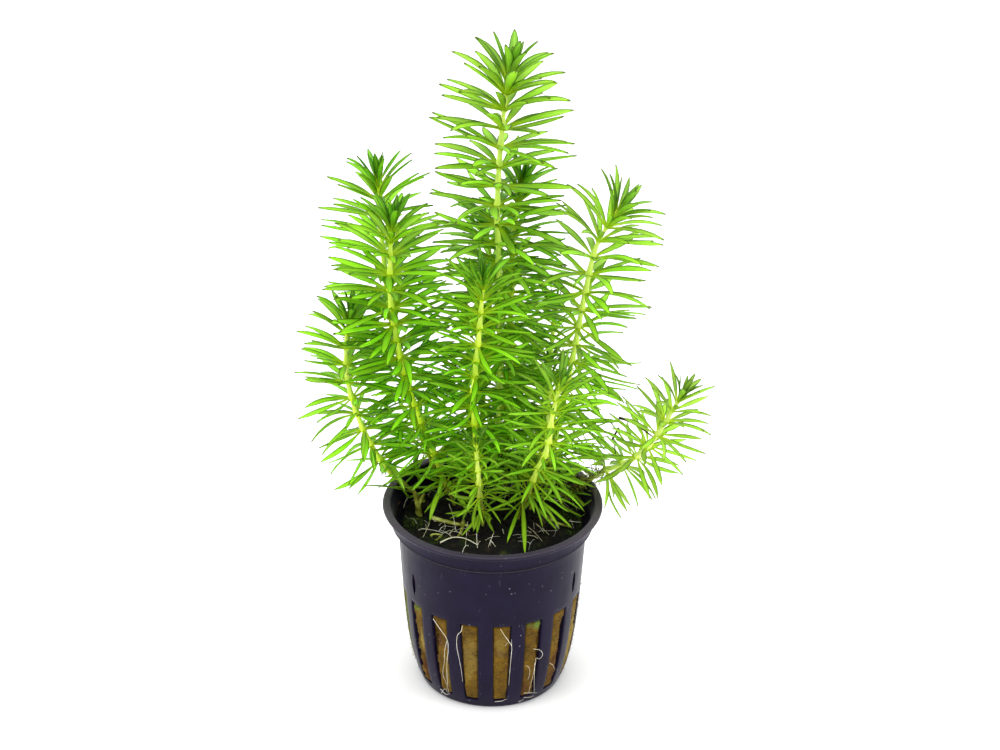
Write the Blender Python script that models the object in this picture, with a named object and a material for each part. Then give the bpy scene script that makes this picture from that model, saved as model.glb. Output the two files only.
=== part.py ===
"""A potted Pogostemon erectus: stems with whorls of narrow leaves, in a rock wool plug in a net pot.

Units are metres, +Z is up and the front is -Y. The origin is the middle of the pot's flat underside.
"""

from collections import namedtuple
from math import asin, cos, exp, pi, radians, sin
from random import Random

import bmesh
import bpy
from mathutils import Vector
from mathutils.bvhtree import BVHTree

MM = 0.001
GAP = 0.3 * MM  # between pieces that touch on the real object
SMOOTH_BELOW = radians(35)  # faces that meet at less than this are shaded as one round surface

# The pot: a 5 cm net pot, turned about Z, with slots and ribs all round
POT_HEIGHT = 47.0 * MM
LIP_RADIUS = 26.0 * MM
LIP_OPENING_RADIUS = 24.0 * MM
LIP_THICKNESS = 1.1 * MM
COLLAR_RADIUS = 24.1 * MM
COLLAR_HEIGHT = 5.5 * MM
COLLAR_BOTTOM = POT_HEIGHT - COLLAR_HEIGHT
WALL = 1.0 * MM
FLOOR = 1.2 * MM
BASE_RADIUS = 16.9 * MM
BASE_CHAMFER = 0.5 * MM
SLOT_BOTTOM = 2.6 * MM
SLOT_TOP = 25.4 * MM
SLOT_COUNT = 17
RIB_WIDTH = 3.5 * MM
FIRST_SLOT_ANGLE = radians(7.0)  # from the front towards +X
# The wall's outer radius at heights between the base and the collar
WALL_HEIGHTS = (SLOT_BOTTOM, 12.0 * MM, SLOT_TOP, COLLAR_BOTTOM)
WALL_RADII = (18.0 * MM, 20.2 * MM, 21.4 * MM, 22.4 * MM)
SLIT_COUNT = 3
FIRST_SLIT_ANGLE = radians(62.5)
SLIT_SIZE = (1.1 * MM, 6.0 * MM)
SLIT_MIDDLE = 31.0 * MM
SLIT_CUT_DEPTH = 3 * WALL

# The plug of rock wool inside it, with an uneven top: each wave has a count round the plug, a share
# of the unevenness, a starting angle and how much that angle shifts between the middle and the rim
PLUG_TOP = 41.6 * MM
PLUG_MOUND = 0.9 * MM
PLUG_UNEVEN = 0.25 * MM
PLUG_WAVES = ((3, 1.0, 1.1, 0.0), (5, 0.7, 0.0, 9.0))
PLUG_RING_SHARES = (1.0, 0.55)
SOCKET_DEPTH = 5.0 * MM
SOCKET_SIDES = 5
SOCKET_CUT_ABOVE = 4.0 * MM

# Stems, which thicken at each node and grow slimmer in the crown
STEM_SIDES = 6
NODE_RADIUS = 1.0 * MM
NODE_LENGTH = 0.9 * MM
STEM_RADIUS = 0.75 * MM
FOOT_RADIUS = 0.8 * MM
CURVE_STEPS = 12
FIRST_WHORL = 0.8 * MM  # below the tip
WHORL_SPACING = 5.0 * MM
CROWN_SPACING = 2.5 * MM
CROWN_LENGTH = 11.0 * MM
CROWN_SLIMNESS = 0.5

# Leaves: their form, and how they lengthen and sink with distance below the tip
LEAF_WIDTH = 2.3 * MM
LEAF_WIDEST = 0.6  # share of the length
LEAF_ARCH = 0.35 * MM
LEAF_FULL_WIDTH_FROM = 12.0 * MM  # a shorter leaf is narrower too, down to LEAF_NARROWEST
LEAF_NARROWEST = 0.55
LEAF_ROOT_SHARE = 0.85  # of the node's radius, where a leaf starts
YOUNGEST_LENGTH = 0.42  # share of the full length
LENGTHENING = 7.0 * MM
GROWN_RISE = 28.0  # degrees above square to the stem
CROWN_RISE = 42.0  # more than that at the tip
OPENING = 4.0 * MM
LOWEST_RISE = -52.0
HIGHEST_RISE = 82.0
RISE_SPREAD = 5.0  # degrees either way, by chance
TURN_SPREAD = 6.0
LENGTH_SPREAD = (0.9, 1.06)
SEED = 11

# The form that a leaf keeps clear of its neighbours, where it starts and how thick it is there
CLEARANCE = 0.3 * MM
CLEAR_ABOVE = 0.05 * MM
CLEAR_KEEL = 0.3 * MM
FOOT_START, FOOT_SIZE = 0.03, NODE_LENGTH / 2
BLADE_START, BLADE_SIZE = 0.14, 0.1 * MM
TUBE_STEPS = 24
TUBE_SIDES = 4
# What a leaf tries in turn to keep clear: degrees up, degrees round, share of its length
LEAF_TRIES = (
    (0, 0, 1.0), (9, 0, 1.0), (-9, 0, 1.0), (0, 10, 1.0), (0, -10, 1.0), (16, 6, 0.95), (-16, -6, 0.95),
    (10, 14, 0.9), (10, -14, 0.9), (-10, 14, 0.85), (-10, -14, 0.85), (24, 0, 0.8), (-24, 0, 0.8),
    (0, 0, 0.7), (14, 8, 0.6), (-14, -8, 0.6), (0, 0, 0.5),
)

# Each shoot in millimetres: its foot on the plug, points along its stem, its longest leaf, the length
# of stem left bare above the plug, and the degrees that its leaves sink for each millimetre from the tip
Shoot = namedtuple("Shoot", "name foot points leaf bare sink")
SHOOTS = (
    Shoot("shoot_tall_centre", (0.5, 9.0),
          ((1.2, 7.0, 68), (1.2, 5.6, 97), (0.4, 5.0, 122), (1.6, 4.3, 144), (2.4, 3.9, 155)),
          17.0, 38, 0.75),
    Shoot("shoot_tall_left", (-9.0, 5.0),
          ((-15, 3.2, 61), (-20.3, 1.0, 79), (-23.3, -2.5, 99), (-23.4, -4.8, 112), (-22.6, -6.0, 123)),
          14.5, 20, 0.9),
    Shoot("shoot_tall_right", (12.0, 8.0),
          ((15.5, 7.5, 65), (18.5, 6.0, 84), (20.5, 4.3, 99), (23.0, 3.0, 112.5), (28.3, 2.0, 123)),
          16.5, 20, 0.8),
    Shoot("shoot_middle_front", (-2.5, 3.0),
          ((-4.0, -2.0, 64), (-4.7, -4.2, 77), (-3.4, -8.5, 95.5), (-2.4, -12.0, 111.5)),
          14.5, 14, 1.0),
    Shoot("shoot_low_right_front", (6.0, 0.0),
          ((8.1, -2.5, 50), (9.8, -5.0, 57), (12.4, -8.5, 66), (13.5, -11.5, 77), (15.4, -14.0, 87)),
          14.0, 6, 1.5),
    Shoot("shoot_leaning_right", (16.5, 7.8),
          ((25.5, 6.2, 51.5), (30.1, 4.5, 54.5), (34.5, 2.3, 59), (39.0, -1.0, 67.5), (43.5, -4.0, 79)),
          12.5, 15, 1.2),
    Shoot("shoot_low_left", (-16.5, 7.5),
          ((-20.8, 6.2, 47.5), (-26.0, 5.0, 54), (-30.5, 3.6, 64), (-33.5, 1.8, 76), (-34.0, 0.8, 87),
           (-32.8, 0, 97)),
          14.0, 18, 1.5),
    Shoot("shoot_tall_back_left", (-11.0, 11.0),
          ((-18.5, 11.5, 62), (-24.0, 12.0, 88), (-26.3, 12.8, 112), (-27.0, 13.5, 125)),
          14.5, 36, 0.9),
    Shoot("shoot_short_front", (-2.2, -3.0),
          ((-3.0, -7.0, 53.5), (-3.3, -9.0, 59), (-4.0, -12.5, 70)),
          12.0, 6, 1.8),
    Shoot("shoot_behind_centre", (3.0, 13.0),
          ((3.4, 12.0, 67), (3.8, 12.2, 93), (4.2, 12.5, 111), (6.0, 12.5, 125)),
          13.5, 54, 0.8),
    Shoot("shoot_behind_left", (-4.0, 14.5),
          ((-2.5, 17.0, 66), (-1.4, 19.0, 87), (-1.0, 20.0, 100), (-2.9, 20.0, 110)),
          13.0, 38, 0.9),
    Shoot("shoot_behind_right", (9.5, 13.5),
          ((10.5, 15.0, 57), (12.8, 17.0, 71), (13.8, 18.5, 83), (14.1, 19.0, 91)),
          12.5, 20, 1.1),
    Shoot("shoot_short_right", (9.0, 4.5),
          ((11.0, 5.5, 55), (12.6, 6.2, 66), (13.0, 6.0, 76), (12.4, 5.5, 83)),
          11.5, 12, 1.2),
)
STUB_FOOT = (-17.5, 2.5)
STUB_POINTS = ((-18.0, 2.7, 46.0), (-18.8, 3.0, 49.5))


def clear_scene():
    for thing in list(bpy.data.objects):
        bpy.data.objects.remove(thing, do_unlink=True)


def make_material(name, colour, roughness, metallic=0.0):
    material = bpy.data.materials.new(name)
    material.use_nodes = True
    shader = material.node_tree.nodes["Principled BSDF"]
    shader.inputs["Base Color"].default_value = (*colour, 1.0)
    shader.inputs["Roughness"].default_value = roughness
    shader.inputs["Metallic"].default_value = metallic
    return material


def add_object(name, shape, material=None, parent=None):
    mesh = bpy.data.meshes.new(name)
    shape.to_mesh(mesh)
    thing = bpy.data.objects.new(name, mesh)
    thing.parent = parent
    bpy.context.scene.collection.objects.link(thing)
    if material:
        mesh.materials.append(material)
        mesh.shade_smooth()
        mesh.set_sharp_from_angle(angle=SMOOTH_BELOW)
    return thing


def cut_away(thing, cutter):
    cutter.hide_render = True
    cutter.display_type = "WIRE"
    cut = thing.modifiers.new("cut", "BOOLEAN")
    cut.operation = "DIFFERENCE"
    cut.solver = "EXACT"
    cut.object = cutter


def around(angle, radius, height):
    """A point at this angle from the front, turning towards +X."""
    return Vector((radius * sin(angle), -radius * cos(angle), height))


def wall_radius(height):
    """The outer radius of the pot's wall below the collar."""
    heights = (0.0,) + WALL_HEIGHTS
    radii = (BASE_RADIUS,) + WALL_RADII
    for low in range(len(heights) - 1):
        if height <= heights[low + 1]:
            share = (height - heights[low]) / (heights[low + 1] - heights[low])
            return radii[low] + (radii[low + 1] - radii[low]) * share
    return radii[-1]


def pot_angles(height):
    """Two angles for each slot, its edges. The ribs between the slots keep one width."""
    level = min(max(height, SLOT_BOTTOM), SLOT_TOP)
    half_slot = pi / SLOT_COUNT - asin(RIB_WIDTH / 2 / wall_radius(level))
    angles = []
    for slot in range(SLOT_COUNT):
        middle = FIRST_SLOT_ANGLE + slot * 2 * pi / SLOT_COUNT
        angles += [middle - half_slot, middle + half_slot]
    return angles


def add_ring(shape, radius, height):
    """A ring of the pot or the plug, with a point at each edge of each slot."""
    return [shape.verts.new(around(angle, radius, height)) for angle in pot_angles(height)]


def join_rings(shape, first, second, ribs_only=False):
    """Faces between two rings, all round or only on the ribs between the slots."""
    for column in range(len(first)):
        after = (column + 1) % len(first)
        is_slot = column % 2 == 0
        if not (ribs_only and is_slot):
            shape.faces.new((first[column], first[after], second[after], second[column]))


def line_slots(shape, outside, inside):
    """The four edges of every slot, through the wall."""
    for left in range(0, 2 * SLOT_COUNT, 2):
        right = left + 1
        for row in (0, len(outside) - 1):
            corners = outside[row][left], outside[row][right], inside[row][right], inside[row][left]
            shape.faces.new(corners)
        for column in (left, right):
            for row in range(len(outside) - 1):
                low_out, high_out = outside[row][column], outside[row + 1][column]
                low_in, high_in = inside[row][column], inside[row + 1][column]
                shape.faces.new((low_out, high_out, high_in, low_in))


def make_pot():
    """The net pot: an outer and an inner skin, row by row upwards, joined at the slots and the lip."""
    shape = bmesh.new()
    lip_bottom = POT_HEIGHT - LIP_THICKNESS
    slotted = WALL_HEIGHTS[:-1]
    outside = [
        add_ring(shape, BASE_RADIUS - BASE_CHAMFER, 0),
        add_ring(shape, BASE_RADIUS, BASE_CHAMFER),
        *(add_ring(shape, wall_radius(height), height) for height in slotted),
        add_ring(shape, WALL_RADII[-1], COLLAR_BOTTOM),
        add_ring(shape, COLLAR_RADIUS, COLLAR_BOTTOM),
        add_ring(shape, COLLAR_RADIUS, lip_bottom),
        add_ring(shape, LIP_RADIUS, lip_bottom),
        add_ring(shape, LIP_RADIUS, POT_HEIGHT),
    ]
    inside = [
        add_ring(shape, wall_radius(FLOOR) - WALL, FLOOR),
        *(add_ring(shape, wall_radius(height) - WALL, height) for height in slotted),
        add_ring(shape, WALL_RADII[-1] - WALL, COLLAR_BOTTOM - WALL),
        add_ring(shape, COLLAR_RADIUS - WALL, COLLAR_BOTTOM),
        add_ring(shape, COLLAR_RADIUS - WALL, lip_bottom - WALL / 2),
        add_ring(shape, LIP_OPENING_RADIUS, POT_HEIGHT),
    ]
    slot_rows = len(slotted) - 1
    for skin, first_slotted in ((outside, 2), (inside, 1)):
        for row in range(len(skin) - 1):
            in_slots = first_slotted <= row < first_slotted + slot_rows
            join_rings(shape, skin[row], skin[row + 1], ribs_only=in_slots)
    join_rings(shape, outside[-1], inside[-1])
    shape.faces.new(outside[0])
    shape.faces.new(inside[0])
    line_slots(shape, outside[2:slot_rows + 3], inside[1:slot_rows + 2])
    bmesh.ops.recalc_face_normals(shape, faces=shape.faces)
    return shape


def make_slit_cutter():
    """Thin boxes that stand across the wall, for the narrow slits under the collar."""
    shape = bmesh.new()
    width, height = SLIT_SIZE
    for number in range(SLIT_COUNT):
        outwards = around(FIRST_SLIT_ANGLE + number * 2 * pi / SLIT_COUNT, 1, 0)
        sideways = Vector((-outwards.y, outwards.x, 0))
        middle = outwards * (wall_radius(SLIT_MIDDLE) - WALL / 2) + Vector((0, 0, SLIT_MIDDLE))
        for corner in bmesh.ops.create_cube(shape, size=1.0)["verts"]:
            depth, across_slit, up = corner.co
            offset = outwards * depth * SLIT_CUT_DEPTH + sideways * across_slit * width
            corner.co = middle + offset + Vector((0, 0, up * height))
    bmesh.ops.recalc_face_normals(shape, faces=shape.faces)
    return shape


def plug_height(share, angle):
    """The plug's uneven top, highest in the middle. share is 0 there and 1 at the rim."""
    ripple = 0.0
    for count, size, start, shift in PLUG_WAVES:
        ripple += size * sin(count * angle + start + shift * share)
    return PLUG_TOP + PLUG_MOUND * (1 - share * share) + PLUG_UNEVEN * ripple


def make_plug():
    shape = bmesh.new()
    levels = (FLOOR + GAP, WALL_HEIGHTS[1], SLOT_TOP)
    rings = [add_ring(shape, wall_radius(level) - WALL - GAP, level) for level in levels]
    rim_radius = WALL_RADII[-1] - WALL - GAP
    angles = pot_angles(SLOT_TOP)
    for share in PLUG_RING_SHARES:
        places = [around(angle, rim_radius * share, plug_height(share, angle)) for angle in angles]
        rings.append([shape.verts.new(place) for place in places])
    for low, high in zip(rings, rings[1:]):
        join_rings(shape, low, high)
    shape.faces.new(rings[0])
    shape.faces.new(rings[-1])
    bmesh.ops.recalc_face_normals(shape, faces=shape.faces)
    return shape


def make_socket_cutter(feet):
    """An upright prism around each stem's foot."""
    shape = bmesh.new()
    radius = (FOOT_RADIUS + GAP) / cos(pi / SOCKET_SIDES)
    heights = (PLUG_TOP - SOCKET_DEPTH - GAP, PLUG_TOP + SOCKET_CUT_ABOVE)
    for x, y in feet:
        foot = Vector((x, y, 0))
        rings = []
        for height in heights:
            corners = [around(side * 2 * pi / SOCKET_SIDES, radius, height) for side in range(SOCKET_SIDES)]
            rings.append([shape.verts.new(foot + corner) for corner in corners])
            shape.faces.new(rings[-1])
        join_rings(shape, *rings)
    bmesh.ops.recalc_face_normals(shape, faces=shape.faces)
    return shape


def smooth_curve(points):
    """A Catmull-Rom curve through the points, as a list of close points."""
    ends = [points[0] * 2 - points[1]] + list(points) + [points[-1] * 2 - points[-2]]
    curve = []
    for start in range(len(points) - 1):
        p0, p1, p2, p3 = ends[start:start + 4]
        for step in range(CURVE_STEPS):
            t = step / CURVE_STEPS
            curve.append(0.5 * (2 * p1 + (p2 - p0) * t + (2 * p0 - 5 * p1 + 4 * p2 - p3) * t ** 2
                                + (3 * p1 - p0 - 3 * p2 + p3) * t ** 3))
    return curve + [points[-1].copy()]


class Stem:
    """A stem's course from the plug's top to its tip, measured along its length."""

    def __init__(self, foot, points):
        x, y = (place * MM for place in foot)
        self.foot = Vector((x, y, PLUG_TOP - SOCKET_DEPTH))
        start = Vector((x, y, PLUG_TOP + PLUG_MOUND))
        self.curve = smooth_curve([start] + [Vector(point) * MM for point in points])
        self.marks = [0.0]
        for near, far in zip(self.curve, self.curve[1:]):
            self.marks.append(self.marks[-1] + (far - near).length)
        self.length = self.marks[-1]

    def at(self, distance):
        """The point and the direction at this distance from the plug."""
        distance = min(max(distance, 0.0), self.length)
        step = 0
        while distance > self.marks[step + 1] and step < len(self.curve) - 2:
            step += 1
        near, far = self.curve[step], self.curve[step + 1]
        share = (distance - self.marks[step]) / (self.marks[step + 1] - self.marks[step])
        return near.lerp(far, share), (far - near).normalized()


def whorl_places(stem, bare):
    """Distances of the whorls from the plug, close together in the crown and even below it."""
    places = []
    down = FIRST_WHORL
    while stem.length - down > bare * MM:
        places.append(stem.length - down)
        ease = min(1.0, down / CROWN_LENGTH)
        down += CROWN_SPACING + (WHORL_SPACING - CROWN_SPACING) * ease
    return places[::-1]


def leaf_length(longest, down):
    """Leaves near the crown are young and short. down is the distance below the tip."""
    return longest * MM * (1 - (1 - YOUNGEST_LENGTH) * exp(-down / LENGTHENING))


def leaf_rise(sink, down):
    """Degrees that a leaf rises above square to its stem: upright in the crown, sinking with age."""
    return max(LOWEST_RISE, GROWN_RISE + CROWN_RISE * exp(-down / OPENING) - sink * down / MM)


def across(direction, turn):
    """A unit vector square to the stem at this angle, the same way round on every whorl."""
    side = Vector((0, -1, 0))
    side = (side - direction * side.dot(direction)).normalized()
    return side * cos(turn) + direction.cross(side) * sin(turn)


def stem_ring(shape, place, direction, radius, twist=0.0):
    turns = [twist + side * 2 * pi / STEM_SIDES for side in range(STEM_SIDES)]
    return [shape.verts.new(place + across(direction, turn) * radius) for turn in turns]


class Leaf:
    """A narrow leaf: widest past its middle, pointed at the tip, with a keel below."""

    def __init__(self, place, direction, turn, rise, length):
        outwards = across(direction, turn)
        self.length = length
        self.along = (outwards * cos(rise) + direction * sin(rise)).normalized()
        self.side = direction.cross(outwards).normalized()
        self.above = self.along.cross(self.side)
        self.base = place + outwards * NODE_RADIUS * LEAF_ROOT_SHARE
        self.tip = self.base + self.along * length
        self.middle = self.base + self.along * length * LEAF_WIDEST + self.above * LEAF_ARCH
        width_share = LEAF_NARROWEST + (1 - LEAF_NARROWEST) * length / LEAF_FULL_WIDTH_FROM
        self.half_width = LEAF_WIDTH / 2 * min(1.0, width_share)

    def edges(self, spare=0.0):
        reach = self.side * (self.half_width + spare)
        return self.middle - reach, self.middle + reach

    def form(self, spare, start_share, start_size):
        """The leaf grown by spare, as a closed form that starts with a small square near the stem."""
        left, right = self.edges(spare)
        start = self.base + self.along * self.length * start_share
        aside, up = self.side * (start_size + spare), self.above * (start_size + spare)
        top = self.middle + self.above * (spare + CLEAR_ABOVE)
        keel = self.middle - self.above * (LEAF_ARCH + spare + CLEAR_KEEL)
        end = self.tip + self.along * spare
        points = [start - aside + up, start + aside + up, start - aside - up, start + aside - up,
                  left, right, top, keel, end]
        faces = [(0, 1, 6), (0, 6, 4), (1, 5, 6), (4, 6, 8), (6, 5, 8), (2, 7, 3), (2, 4, 7), (3, 7, 5),
                 (4, 8, 7), (7, 8, 5), (0, 4, 2), (1, 3, 5), (0, 2, 3, 1)]
        return BVHTree.FromPolygons(points, faces)

    def reach(self):
        """All that the leaf takes up, with its foot, grown by the clearance."""
        return self.form(CLEARANCE, FOOT_START, FOOT_SIZE)

    def blade(self, spare=0.0):
        """The leaf without its foot, for leaves that share a stem."""
        return self.form(spare, BLADE_START, BLADE_SIZE)


def stem_tree(stem):
    """The stem as a thin square tube, for keeping leaves clear of it."""
    points, faces = [], []
    for step in range(TUBE_STEPS + 1):
        place, direction = stem.at(stem.length * step / TUBE_STEPS)
        for corner in range(TUBE_SIDES):
            points.append(place + across(direction, corner * 2 * pi / TUBE_SIDES) * (NODE_RADIUS + GAP))
    for low in range(0, TUBE_STEPS * TUBE_SIDES, TUBE_SIDES):
        high = low + TUBE_SIDES
        for corner in range(TUBE_SIDES):
            after = (corner + 1) % TUBE_SIDES
            faces.append((low + corner, low + after, high + after, high + corner))
    return BVHTree.FromPolygons(points, faces)


def grow_leaf(shoot, place, direction, turn, down, obstacles, placed, chance):
    """The first leaf of the tries that clears the other pieces and the leaves placed so far, or None."""
    natural_rise = leaf_rise(shoot.sink, down) + chance.uniform(-RISE_SPREAD, RISE_SPREAD)
    natural_turn = turn + radians(chance.uniform(-TURN_SPREAD, TURN_SPREAD))
    natural_length = leaf_length(shoot.leaf, down) * chance.uniform(*LENGTH_SPREAD)
    for more_rise, more_turn, share in LEAF_TRIES:
        rise = radians(min(natural_rise + more_rise, HIGHEST_RISE))
        leaf = Leaf(place, direction, natural_turn + radians(more_turn), rise, natural_length * share)
        reach, blade = leaf.reach(), leaf.blade(CLEARANCE)
        touches_piece = any(reach.overlap(tree) for tree in obstacles)
        if not touches_piece and not any(blade.overlap(tree) for tree in placed):
            return leaf
    return None


def add_leaf(shape, leaf, low_left, low_right, high_left, high_right):
    """Grows the leaf out of one face of a node: a flat top, and a keel that runs to the tip."""
    left, right = leaf.edges()
    if (left - low_left.co).length > (right - low_left.co).length:
        left, right = right, left
    left, right, tip = (shape.verts.new(point) for point in (left, right, leaf.tip))
    shape.faces.new((high_left, high_right, right, left))
    shape.faces.new((left, right, tip))
    shape.faces.new((low_left, left, tip))
    shape.faces.new((low_left, tip, low_right))
    shape.faces.new((low_right, tip, right))
    shape.faces.new((high_left, left, low_left))
    shape.faces.new((high_right, low_right, right))


def make_shoot(shoot, stem, obstacles, chance):
    """One shoot: a stem that thickens at each node, with a leaf on every face of the node."""
    shape = bmesh.new()
    placed = []
    foot = stem_ring(shape, stem.foot, Vector((0, 0, 1)), FOOT_RADIUS)
    shape.faces.new(foot)
    last = stem_ring(shape, *stem.at(0), FOOT_RADIUS)
    join_rings(shape, foot, last)
    half_face = pi / STEM_SIDES
    for number, distance in enumerate(whorl_places(stem, shoot.bare)):
        down = stem.length - distance
        place, direction = stem.at(distance)
        slim = CROWN_SLIMNESS + (1 - CROWN_SLIMNESS) * min(1.0, down / CROWN_LENGTH)
        twist = (number % 2) * half_face
        half_node = direction * NODE_LENGTH / 2 * slim
        low = stem_ring(shape, place - half_node, direction, NODE_RADIUS * slim, twist)
        high = stem_ring(shape, place + half_node, direction, STEM_RADIUS * slim, twist)
        join_rings(shape, last, low)
        for side in range(STEM_SIDES):
            after = (side + 1) % STEM_SIDES
            turn = twist + (2 * side + 1) * half_face
            leaf = grow_leaf(shoot, place, direction, turn, down, obstacles, placed, chance)
            if leaf:
                placed.append(leaf.blade())
                add_leaf(shape, leaf, low[side], low[after], high[side], high[after])
            else:
                shape.faces.new((low[side], low[after], high[after], high[side]))
        last = high
    tip = shape.verts.new(stem.at(stem.length)[0])
    for side in range(STEM_SIDES):
        shape.faces.new((last[side], last[(side + 1) % STEM_SIDES], tip))
    bmesh.ops.recalc_face_normals(shape, faces=shape.faces)
    return shape


def make_stub(stem):
    """A bare stem end, cut off square."""
    shape = bmesh.new()
    rings = [stem_ring(shape, stem.foot, Vector((0, 0, 1)), FOOT_RADIUS)]
    for distance in (0, stem.length / 2, stem.length):
        rings.append(stem_ring(shape, *stem.at(distance), FOOT_RADIUS))
    for low, high in zip(rings, rings[1:]):
        join_rings(shape, low, high)
    shape.faces.new(rings[0])
    shape.faces.new(rings[-1])
    bmesh.ops.recalc_face_normals(shape, faces=shape.faces)
    return shape


def main():
    clear_scene()
    plastic = make_material("pot plastic", (0.024, 0.018, 0.034), 0.38)
    wool = make_material("rock wool", (0.17, 0.11, 0.03), 0.95)
    leaf_green = make_material("leaf and stem", (0.15, 0.50, 0.01), 0.42)
    old_wood = make_material("old stem", (0.22, 0.17, 0.04), 0.7)
    plant = bpy.data.objects.new("potted_plant", None)
    bpy.context.scene.collection.objects.link(plant)

    pot_shape = make_pot()
    pot = add_object("pot", pot_shape, plastic, plant)
    cut_away(pot, add_object("slit_cutter", make_slit_cutter(), parent=plant))

    stems = {shoot.name: Stem(shoot.foot, shoot.points) for shoot in SHOOTS}
    stub = Stem(STUB_FOOT, STUB_POINTS)
    plug_shape = make_plug()
    plug = add_object("rockwool_plug", plug_shape, wool, plant)
    feet = [stem.foot.xy for stem in [*stems.values(), stub]]
    cut_away(plug, add_object("socket_cutter", make_socket_cutter(feet), parent=plant))
    add_object("old_stem_stub", make_stub(stub), old_wood, plant)

    grown = [BVHTree.FromBMesh(pot_shape, epsilon=GAP), BVHTree.FromBMesh(plug_shape, epsilon=GAP),
             stem_tree(stub)]
    tubes = {name: stem_tree(stem) for name, stem in stems.items()}
    chance = Random(SEED)
    for shoot in SHOOTS:
        obstacles = grown + [tube for name, tube in tubes.items() if name != shoot.name]
        shape = make_shoot(shoot, stems[shoot.name], obstacles, chance)
        grown.append(BVHTree.FromBMesh(shape))
        add_object(shoot.name, shape, leaf_green, plant)


main()
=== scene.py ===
import math
import random

import bmesh
import bpy
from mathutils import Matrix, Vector, noise


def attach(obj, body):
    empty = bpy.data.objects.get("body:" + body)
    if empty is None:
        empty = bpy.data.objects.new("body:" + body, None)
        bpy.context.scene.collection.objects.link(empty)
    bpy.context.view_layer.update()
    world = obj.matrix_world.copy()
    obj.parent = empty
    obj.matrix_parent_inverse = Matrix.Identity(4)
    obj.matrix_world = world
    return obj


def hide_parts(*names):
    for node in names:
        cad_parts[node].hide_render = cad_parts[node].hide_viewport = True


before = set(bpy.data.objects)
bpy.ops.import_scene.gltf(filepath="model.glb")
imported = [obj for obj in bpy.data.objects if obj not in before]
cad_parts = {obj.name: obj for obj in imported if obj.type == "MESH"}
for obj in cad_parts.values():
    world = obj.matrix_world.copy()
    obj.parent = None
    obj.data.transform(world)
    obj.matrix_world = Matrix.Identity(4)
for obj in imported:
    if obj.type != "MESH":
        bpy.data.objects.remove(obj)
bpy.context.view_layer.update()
mm = 0.001
scene = bpy.context.scene


# Small helpers
def linearColour(code):
    # an sRGB hex value as the linear colour that the shaders work in
    channels = [int(code[start:start + 2], 16) / 255 for start in (1, 3, 5)]
    return [c / 12.92 if c <= 0.04045 else ((c + 0.055) / 1.055) ** 2.4 for c in channels] + [1.0]


def addNode(tree, kind, values=None, stops=None, **settings):
    # one node: its settings, then its inputs, each a plain value, a socket, a node or a list of nodes
    node = tree.nodes.new(kind)
    for key, value in settings.items():
        setattr(node, key, value)
    if stops:
        points = node.color_ramp.elements
        while len(points) < len(stops):
            points.new(0.5)
        for point, (place, code) in zip(points, stops):
            point.position = place
            point.color = linearColour(code)
    free = [socket for socket in node.inputs if socket.enabled]
    for key, value in (values or {}).items():
        socket = free[key] if isinstance(key, int) else next(one for one in free if one.name == key)
        sources = value if isinstance(value, list) else [value]
        for source in sources:
            if isinstance(source, bpy.types.Node):
                source = next(one for one in source.outputs if one.enabled)
            if isinstance(source, bpy.types.NodeSocket):
                tree.links.new(source, socket)
            else:
                socket.default_value = linearColour(source) if str(source)[:1] == "#" else source
    return node


def newMaterial(name, values):
    material = bpy.data.materials.new(name)
    material.use_nodes = True
    tree = material.node_tree
    shader = tree.nodes["Principled BSDF"]
    for socket, value in values.items():
        shader.inputs[socket].default_value = value
    return material, tree, shader


def newTree(name, inputs):
    # an empty Geometry Nodes tree with its named inputs
    tree = bpy.data.node_groups.new(name, "GeometryNodeTree")
    tree.interface.new_socket("Geometry", in_out="INPUT", socket_type="NodeSocketGeometry")
    for label, kind in inputs.items():
        tree.interface.new_socket(label, in_out="INPUT", socket_type="NodeSocket" + kind)
    tree.interface.new_socket("Geometry", in_out="OUTPUT", socket_type="NodeSocketGeometry")
    return tree, addNode(tree, "NodeGroupInput").outputs


def addPiece(name, mesh):
    piece = bpy.data.objects.new(name, mesh)
    scene.collection.objects.link(piece)
    return piece


def runTree(tree, source, name, values):
    # the tree's result on the source mesh, as a plain mesh in an object of its own
    holder = addPiece(name + "_source", source)
    modifier = holder.modifiers.new("grow", "NODES")
    modifier.node_group = tree
    for item in tree.interface.items_tree:
        if item.in_out == "INPUT" and item.name in values:
            modifier[item.identifier] = values[item.name]
    graph = bpy.context.evaluated_depsgraph_get()
    mesh = bpy.data.meshes.new_from_object(
        holder.evaluated_get(graph), preserve_all_data_layers=True, depsgraph=graph)
    mesh.name = name
    bpy.data.objects.remove(holder)
    return addPiece(name, mesh)


def addAttribute(mesh, name, kind, values):
    layer = mesh.attributes.new(name, kind, "POINT")
    if kind == "FLOAT_VECTOR":
        layer.data.foreach_set("vector", [number for value in values for number in value])
    else:
        layer.data.foreach_set("value", values)


def shapeToMesh(name, shape, material, sharpAbove=None):
    bmesh.ops.recalc_face_normals(shape, faces=shape.faces)
    mesh = bpy.data.meshes.new(name)
    shape.to_mesh(mesh)
    shape.free()
    mesh.materials.append(material)
    mesh.shade_smooth()
    if sharpAbove:
        mesh.set_sharp_from_angle(angle=math.radians(sharpAbove))
    return mesh


def spaced(low, high, count):
    return [low + (high - low) * step / (count - 1) for step in range(count)]


def share(value):
    return min(1.0, max(0.0, value))


def taperedFaces(rows, sides):
    # the faces of a closed spike: rows of this many points each, and after them its tip
    faces = []
    for low in range(0, (rows - 1) * sides, sides):
        for side in range(sides):
            after = (side + 1) % sides
            faces.append((low + side, low + after, low + sides + after, low + sides + side))
    last = (rows - 1) * sides
    faces += [(last + side, last + (side + 1) % sides, rows * sides) for side in range(sides)]
    return faces + [tuple(range(sides))[::-1]]


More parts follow.
